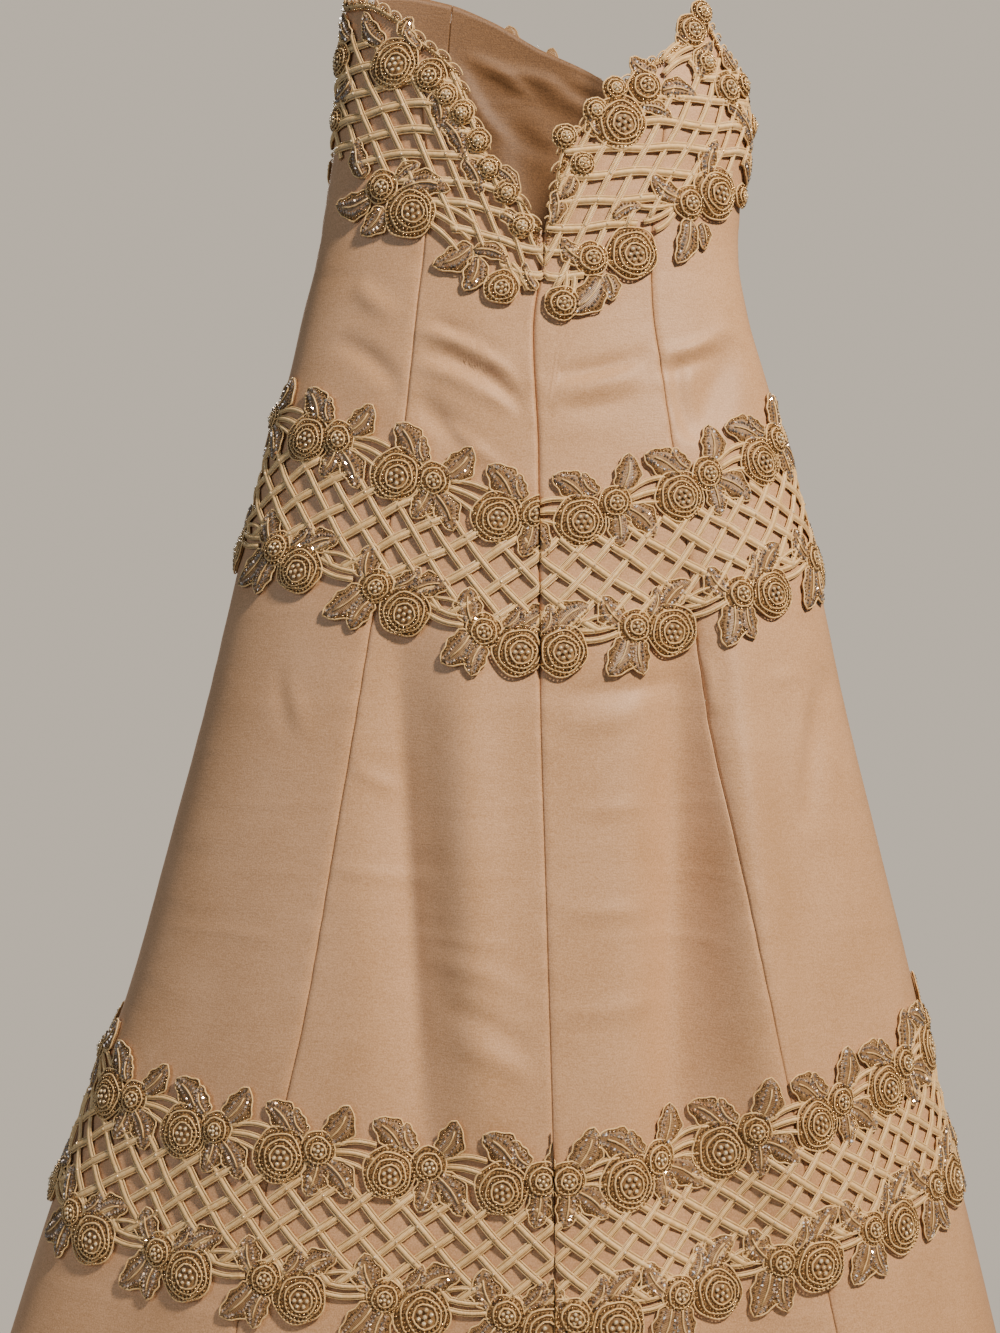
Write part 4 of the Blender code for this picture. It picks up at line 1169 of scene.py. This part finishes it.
def layEdging(half, heap):
    # a bar along the gown's upper edge with a row of beads, and small scallops on the near side
    u = np.arange(half["low"], half["high"], edging["step"])
    path = together(u, edgeHeight(half, u) - edging["inset"], edging["lift"])
    heap["edge"].append(sweep(path, barOutline * edging["barSize"], paintedShade=barPaintedShade))
    for number in range(edging["rows"]):
        row = path + [0, -edging["rowSpace"] * (number + 1), edging["rowLift"]]
        # one row all round, and more in the depth of the V
        row = row if number == 0 else row[np.abs(u) < edging["vHalf"]]
        if len(row) > 2:
            places = spaced(row, edging["beadStep"])
            radii = chance.uniform(0.85, 1.15, len(places)) * edging["beadRadius"]
            heap["bead"].append(beadMesh(places, radii))
    angle = np.interp(u, half["lengths"], half["angles"])
    scallop = np.linspace(0, math.pi, 8)
    inner = np.array(edging["scallopBeads"]) * mm
    for centre in spaced(path[np.abs(angle) < edging["nearAngle"]], edging["scallopStep"]):
        radius = chance.uniform(*edging["scallopRadius"]) * mm
        loop = together(radius * np.cos(scallop), radius * 0.8 * np.sin(scallop), 0)
        loop = centre + loop + [0, 1 * mm, edging["lift"]]
        heap["edge"].append(sweep(loop, roundProfile(edging["scallopCord"], 4)))
        heap["bead"].append(beadMesh(centre + inner, np.full(len(inner), edging["scallopBeadRadius"])))


# the neckline's near side is laid one by one: distance from the near join, height above the centre line (mm)
neckline = {
    # kind, place, turn
    "roses": {
        "left": [
            ("big", -150, 50, 20), ("small", -116, 50, -30), ("small", -153, -45, 10),
            ("big", -126, -57, 60), ("small", -40, -75, 0), ("tiny", -85, 34, 0), ("tiny", -57, 6, 0),
            ("tiny", -38, -2, 0), ("tiny", -22, -17, 40), ("tiny", -101, 40, 40), ("small", -219, 36, 0),
            ("tiny", -219, -11, 0), ("tiny", -68, 21, 0),
        ],
        "right": [
            ("big", 65, 48, 0), ("small", 89, 66, 40), ("tiny", 43, 66, 0), ("tiny", 17, 56, 0),
            ("tiny", 33, 29, 50), ("tiny", 61, 75, 20), ("big", 80, -56, -20), ("small", 41, -45, 30),
            ("big", 170, -41, 15), ("small", 138, -37, 0), ("small", 143, 94, 0), ("tiny", 158, 104, 10),
            ("small", 180, 36, 0), ("tiny", 211, 24, 30), ("tiny", 232, -17, 30), ("tiny", 215, -64, 0),
            ("tiny", 154, 66, 0), ("tab", 14.5, -69, 0),
        ],
    },
    # base, tip, width
    "leaves": {
        "left": [
            (-161, 63, -186, 83, 17), (-144, 71, -136, 89, 14), (-113, 38, -105, 12, 18),
            (-102, 21, -81, 1, 17), (-81, 1, -64, -19, 17), (-170, -42, -183, -14, 19),
            (-135, -43, -92, -27, 21), (-141, -37, -121, -19, 12), (-161, -54, -199, -71, 23),
            (-150, -60, -167, -85, 21), (-69, -59, -102, -89, 22), (-63, -64, -73, -95, 20),
            (-69, -62, -33, -52, 14), (-49, 10, -24, 4, 14), (-45, -21, -18, -24, 15),
            (-202, 57, -224, 71, 17), (-195, 28, -224, 2, 17), (-127, 66, -143, 82, 13),
            (-6, -57, -18, -42, 13),
        ],
        "right": [
            (101, 70, 77, 93, 18), (103, 57, 141, 43, 19), (84, 53, 115, 33, 12), (50, -62, 17, -77, 24),
            (54, -62, 58, -84, 15), (37, -46, 14, -19, 17), (61, -23, 89, -23, 14),
            (132, -34, 98, -4, 18), (158, -28, 162, 4, 17), (139, -49, 125, -80, 19),
            (152, -56, 156, -78, 14), (145, 55, 166, 78, 18), (136, 85, 126, 95, 13),
            (193, 11, 223, -34, 18), (178, 24, 203, -1, 14), (197, 41, 180, 67, 14),
            (47, 45, 37, 63, 12), (210, -33, 234, -63, 14), (10, 18, 7, -7, 14), (26, 23, 13, 10, 14),
        ],
    },
    # both ends, width
    "bars": {
        "left": [
            (-107, -50, -72, -56, 5), (-110, -59, -78, -71, 5), (-104, -42, -65, -42, 5),
            (-31, -51, -14, -61, 5), (-38, -58, -22, -63, 5),
        ],
        "right": [
            (114, 75, 141, 82, 5), (109, 69, 139, 75, 5), (108, 80, 133, 88, 5), (121, -34, 88, -24, 5),
            (121, -37, 92, -37, 5), (123, -41, 104, -48, 5), (61, -56, 53, -45, 5),
            (19, -47, 13, -66, 5), (26, -51, 19, -71, 5), (136, 72, 143, 58, 5), (202, 12, 232, -36, 5),
            (219, 5, 232, -28, 5),
        ],
    },
    "nearAngle": 96,
}


def flatRun(half, start, end):
    # the run from one place of the band to another, measured flat, in mm
    scaleU, lean, rise = localScale(half, np.array([start[0] * mm]), np.array([start[1] * mm]))
    along, up = end[0] - start[0], end[1] - start[1]
    return (along * scaleU[0] + up * lean[0], up * rise[0])


def layNeckline(half, side, heap):
    def lay(part, u, t):
        laid = laidOut(half, np.array([u * mm]), np.array([t * mm]), part, (0, 0), np.zeros(1), np.ones(1))
        for finish, mesh in laid.items():
            heap[finish].append(mesh)

    for kind, u, t, degrees in neckline["roses"][side]:
        lay(turnedFlat(roses[kind], degrees, (0, 0)), u, t)
    for u, t, tipU, tipT, width in neckline["leaves"][side]:
        lay(leafBetween((0, 0), flatRun(half, (u, t), (tipU, tipT)), width), u, t)
    for u, t, endU, endT, width in neckline["bars"][side]:
        lay(makeBar((0, 0), flatRun(half, (u, t), (endU, endT)), width, 2), u, t)


def makeLace(name, side):
    half = makeHalf(name, side)
    sideName = "right" if side > 0 else "left"
    node = name + "_lace_" + sideName
    heap = {kind: [] for kind in ("bars", "cord", "edge", "thread", "bed", "bead", "pearl", "glint")}
    layTrellis(half, heap)
    upper, lower = half["phases"]
    laySprays(half, upperSpray, upper, trellis["bigHeight"], heap)
    laySprays(half, lowerSpray, lower, -trellis["bigHeight"], heap)
    if half["neck"]:
        layEdging(half, heap)
        layNeckline(half, sideName, heap)

    def placed(parts, **cut):
        verts, faces, marks = clipped(half, joined(parts), **cut)
        return onBand(half, verts[:, 0], verts[:, 1], verts[:, 2]), faces, marks

    def build(label, materials, parts, threads=False, flatShaded=False):
        # one piece, with a material for each of its parts
        verts, faces, marks = joined(parts)
        which = np.repeat(np.arange(len(parts)), [len(part[1]) for part in parts])
        piece = makeMesh(
            node + label, verts, faces, materials, marks=marks if threads else None, faceMaterial=which,
            flatShaded=flatShaded,
        )
        settle(piece, node)
        print(piece.name, len(faces), "triangles")
        return piece

    ground = build("_trellis", [cord], [placed(heap["bars"], toEdge=True)], threads=True)
    worked = [placed(heap["cord"] + heap["edge"]), placed(heap["thread"]), placed(heap["bed"])]
    small = [placed(heap["bead"], whole=True), placed(heap["pearl"], whole=True)]
    rest = [
        build("_flowers", [cord, thread, sequinBed], worked, threads=True),
        build("_beads", [bead, pearl], small),
        build("_stones", [glint], [placed(heap["glint"], whole=True)], flatShaded=True),
    ]


for name in bands:
    for side in (-1, 1):
        makeLace(name, side)
print("lace made")

# the hanger, its hook and the loops

hanger = {
    "half": 0.205,
    "top": 0.066,
    "fall": 0.058,
    "thick": 0.012,
    "tall": 0.020,
    # how much less tall the bar is at its ends, how far in they are rounded, and how round its section is
    "taper": 0.35,
    "endRound": 6 * mm,
    "roundness": 0.8,
    "hookRadius": 0.022,
    "hookTurn": (-62, 204),
    # the shank's straight part, how far below the circle it starts to bend, and where the bend ends
    "shankRise": 6 * mm,
    "shankStop": 8 * mm,
    "shankBend": (2.2 * mm, 0.5 * mm),
    "hookTip": (0.9, 0.7, 0.3),
    "wire": 1.9 * mm,
    "loopWidth": 5 * mm,
    "loopThick": 1.0 * mm,
    "loopAngles": {"loop_left": -58, "loop_right": 51},
    "loopHold": 0.022,
    "loopClear": 6.2 * mm,
    # its gap to the bar, half the distance between its two ends, and how it closes in below the bar
    "loopGap": 0.3 * mm,
    "loopEnds": 0.8 * mm,
    "loopWaist": (0.6, 30 * mm),
    # over the bar: share of the bar's height where it turns, and how high it goes above that
    "loopTurn": 0.25,
    "loopRise": (0.30, 3.0 * mm),
    # places across half the ribbon's width, and its thickness there
    "loopSection": ((-1.0, -0.9, 0.0, 0.9, 1.0), (0.3, 0.8, 1.0, 0.8, 0.3)),
}


def hangerLevel(x):
    return -hanger["top"] - hanger["fall"] * (np.abs(x) / hanger["half"]) ** 1.5


def barTall(x):
    return hanger["tall"] * (1 - hanger["taper"] * (np.abs(x) / hanger["half"]) ** 3)


def makeHanger():
    # rounded rings along X that taper to the ends
    x = np.linspace(-hanger["half"], hanger["half"], 61)
    turn = turns(20)
    pastRound = (np.abs(x) - hanger["half"] + hanger["endRound"]) / hanger["endRound"]
    closeIn = np.sqrt(np.clip(1 - pastRound.clip(0) ** 2, 0.02, 1))
    tall = barTall(x)
    across = np.sign(np.cos(turn)) * np.abs(np.cos(turn)) ** hanger["roundness"]
    upward = np.sign(np.sin(turn)) * np.abs(np.sin(turn)) ** hanger["roundness"]
    y = across[None, :] * (hanger["thick"] / 2 * closeIn)[:, None]
    z = (hangerLevel(x) - tall / 2)[:, None] + upward[None, :] * (tall / 2 * closeIn)[:, None]
    verts = together(x[:, None], y, z).reshape(-1, 3)
    faces = tubeFaces(len(x), len(turn))[:, ::-1]
    settle(makeMesh("hanger_bar", verts, faces, [woodFinish()]), "hanger")


def makeHook():
    # wire: a shank, a soft bend and most of a circle, as a tube round a path in the plane of the hanger
    reach = hanger["hookRadius"] + hanger["wire"]
    centre = hanger["wire"] - reach
    turn = np.radians(np.linspace(*hanger["hookTurn"], 60))
    circle = together(reach * np.cos(turn), centre + reach * np.sin(turn))
    bendX, bendZ = hanger["shankBend"]
    shank = [
        (0, -hanger["top"]), (0, -hanger["top"] + hanger["shankRise"]),
        (0, centre - reach - hanger["shankStop"]), (bendX, centre - reach - bendZ),
    ]
    path = evenly(np.concatenate([shank, circle]), 150)[1]
    for _ in range(3):
        path[1:-1] = (path[:-2] + 2 * path[1:-1] + path[2:]) / 4
    taper = np.ones(len(path))
    taper[-3:] = hanger["hookTip"]
    path = together(path[:, 0], path[:, 1], 0)
    verts, faces = sweep(path, roundProfile(hanger["wire"], 12), taper=taper)[:2]
    verts = together(verts[:, 0], -verts[:, 2], verts[:, 1])
    settle(makeMesh("hook_wire", verts, faces, [steelFinish()]), "hanger_hook")


def makeLoop(name, angle):
    # a flat ribbon from inside the neckline, over the hanger's bar and back
    foot = gownPoint(angle, topDrop(angle) + hanger["loopHold"], -shell["satinWall"], creased=False)
    footY = foot[1] + hanger["loopThick"] + hanger["loopClear"]
    top, tall = hangerLevel(foot[0]), barTall(foot[0])
    # the solid bar has eight sides, and the ribbon passes clear of its corners
    clear = hanger["thick"] / 2 / math.cos(math.pi / 8) + hanger["loopGap"]
    share, more = hanger["loopRise"]
    turn = np.radians(np.arange(0, 181, 15))
    rise = (tall * share + more) * np.sin(turn)
    over = together(clear * np.cos(turn), top - tall * hanger["loopTurn"] + rise)
    narrow, below = hanger["loopWaist"]
    waist = top - tall - below
    near = [(footY + hanger["loopEnds"], foot[2]), (clear * narrow, waist), (clear, top - tall)]
    far = [(-clear, top - tall), (-clear * narrow, waist), (footY - hanger["loopEnds"], foot[2])]
    at, path = evenly(np.concatenate([near, over, far]), 90)
    ahead = np.gradient(path, axis=0)
    out = together(ahead[:, 1], -ahead[:, 0]) / np.hypot(ahead[:, 0], ahead[:, 1])[:, None]
    # the ribbon's section is domed a little on its outer side
    share, thick = np.array(hanger["loopSection"])
    across = hanger["loopWidth"] / 2 * share
    grid = np.zeros((len(at), 2 * len(share), 3))
    grid[..., 0] = foot[0] + np.concatenate([across, across[::-1]])
    grid[..., 1:] = path[:, None, :]
    grid[:, : len(share), 1:] += out[:, None, :] * thick[:, None] * hanger["loopThick"]
    verts = grid.reshape(-1, 3)
    uv = together(verts[:, 0], np.repeat(at, grid.shape[1]))
    piece = makeMesh(name + "_ribbon", verts, tubeFaces(len(at), grid.shape[1]), [ribbon], uv=uv)
    settle(piece, name)


makeHanger()
makeHook()
for name, angle in hanger["loopAngles"].items():
    makeLoop(name, angle)
print("hanger, hook and loops made")

# floor, light and camera

studio = {
    "floorDrop": 1.64,
    "floorRadius": 0.86,
    "floorSides": 96,
    "aim": (0, 0, -0.8),
    # place, width and height, power, colour
    "lights": {
        "key": ((1.85, -2.0, 1.7), 0.35, 225, "#ffedd8"),
        "fill": ((-2.2, -1.8, -0.1), 1.6, 20, "#dee4ee"),
        "back": ((-0.6, 2.4, 0.9), 1.0, 70, "#fff6ea"),
    },
    # the photo's longer side takes in 1.133 m from 1.7 m away
    "view": (-0.034, 0.025 - 1.7, -0.792),
    "sensor": 36,
    "lens": 36 * 1.7 / 1.133,
}


def makeFloor():
    # a round of pale floor below the hem
    turn = turns(studio["floorSides"])
    rim = together(np.cos(turn), np.sin(turn), 0) * studio["floorRadius"]
    verts = np.concatenate([rim, [[0, 0, 0]]]) - [0, 0, studio["floorDrop"]]
    k = np.arange(len(turn))
    faces = together(k, (k + 1) % len(turn), len(turn))
    makeMesh("floor", verts, faces, [floorFinish()], flatShaded=True)


def addLight(name, place, size, power, colour):
    data = bpy.data.lights.new(name, "AREA")
    data.size = size
    data.energy = power
    data.color = toLinear(colour)[:3]
    light = bpy.data.objects.new(name, data)
    light.location = place
    away = np.array(place) - studio["aim"]
    flat = math.hypot(away[0], away[1])
    light.rotation_euler = (math.atan2(flat, away[2]), 0, math.atan2(away[0], -away[1]))
    bpy.context.scene.collection.objects.link(light)


def makeStudio():
    makeFloor()
    for name, values in studio["lights"].items():
        addLight(name, *values)
    world = bpy.data.worlds.new("studio")
    world.use_nodes = True
    tree = world.node_tree
    # the pale surround lights the gown less than it looks, and cooler, so that the creases keep their shade
    ray = addNode(tree, "LightPath").outputs["Is Camera Ray"]
    seen = addNode(tree, "MapRange", {"To Min": 0.15, "To Max": 0.97}, {"Value": ray})
    colour = blendColours(tree, ray, "#c2ccd8", "#d4c8b8")
    feed(tree, tree.nodes["Background"], {"Color": colour, "Strength": seen})
    bpy.context.scene.world = world
    camera = bpy.data.cameras.new("view")
    camera.lens = studio["lens"]
    camera.sensor_width = studio["sensor"]
    thing = bpy.data.objects.new("view", camera)
    thing.location = studio["view"]
    thing.rotation_euler = (math.pi / 2, 0, 0)
    bpy.context.scene.collection.objects.link(thing)
    bpy.context.scene.camera = thing


makeStudio()
print("studio made")
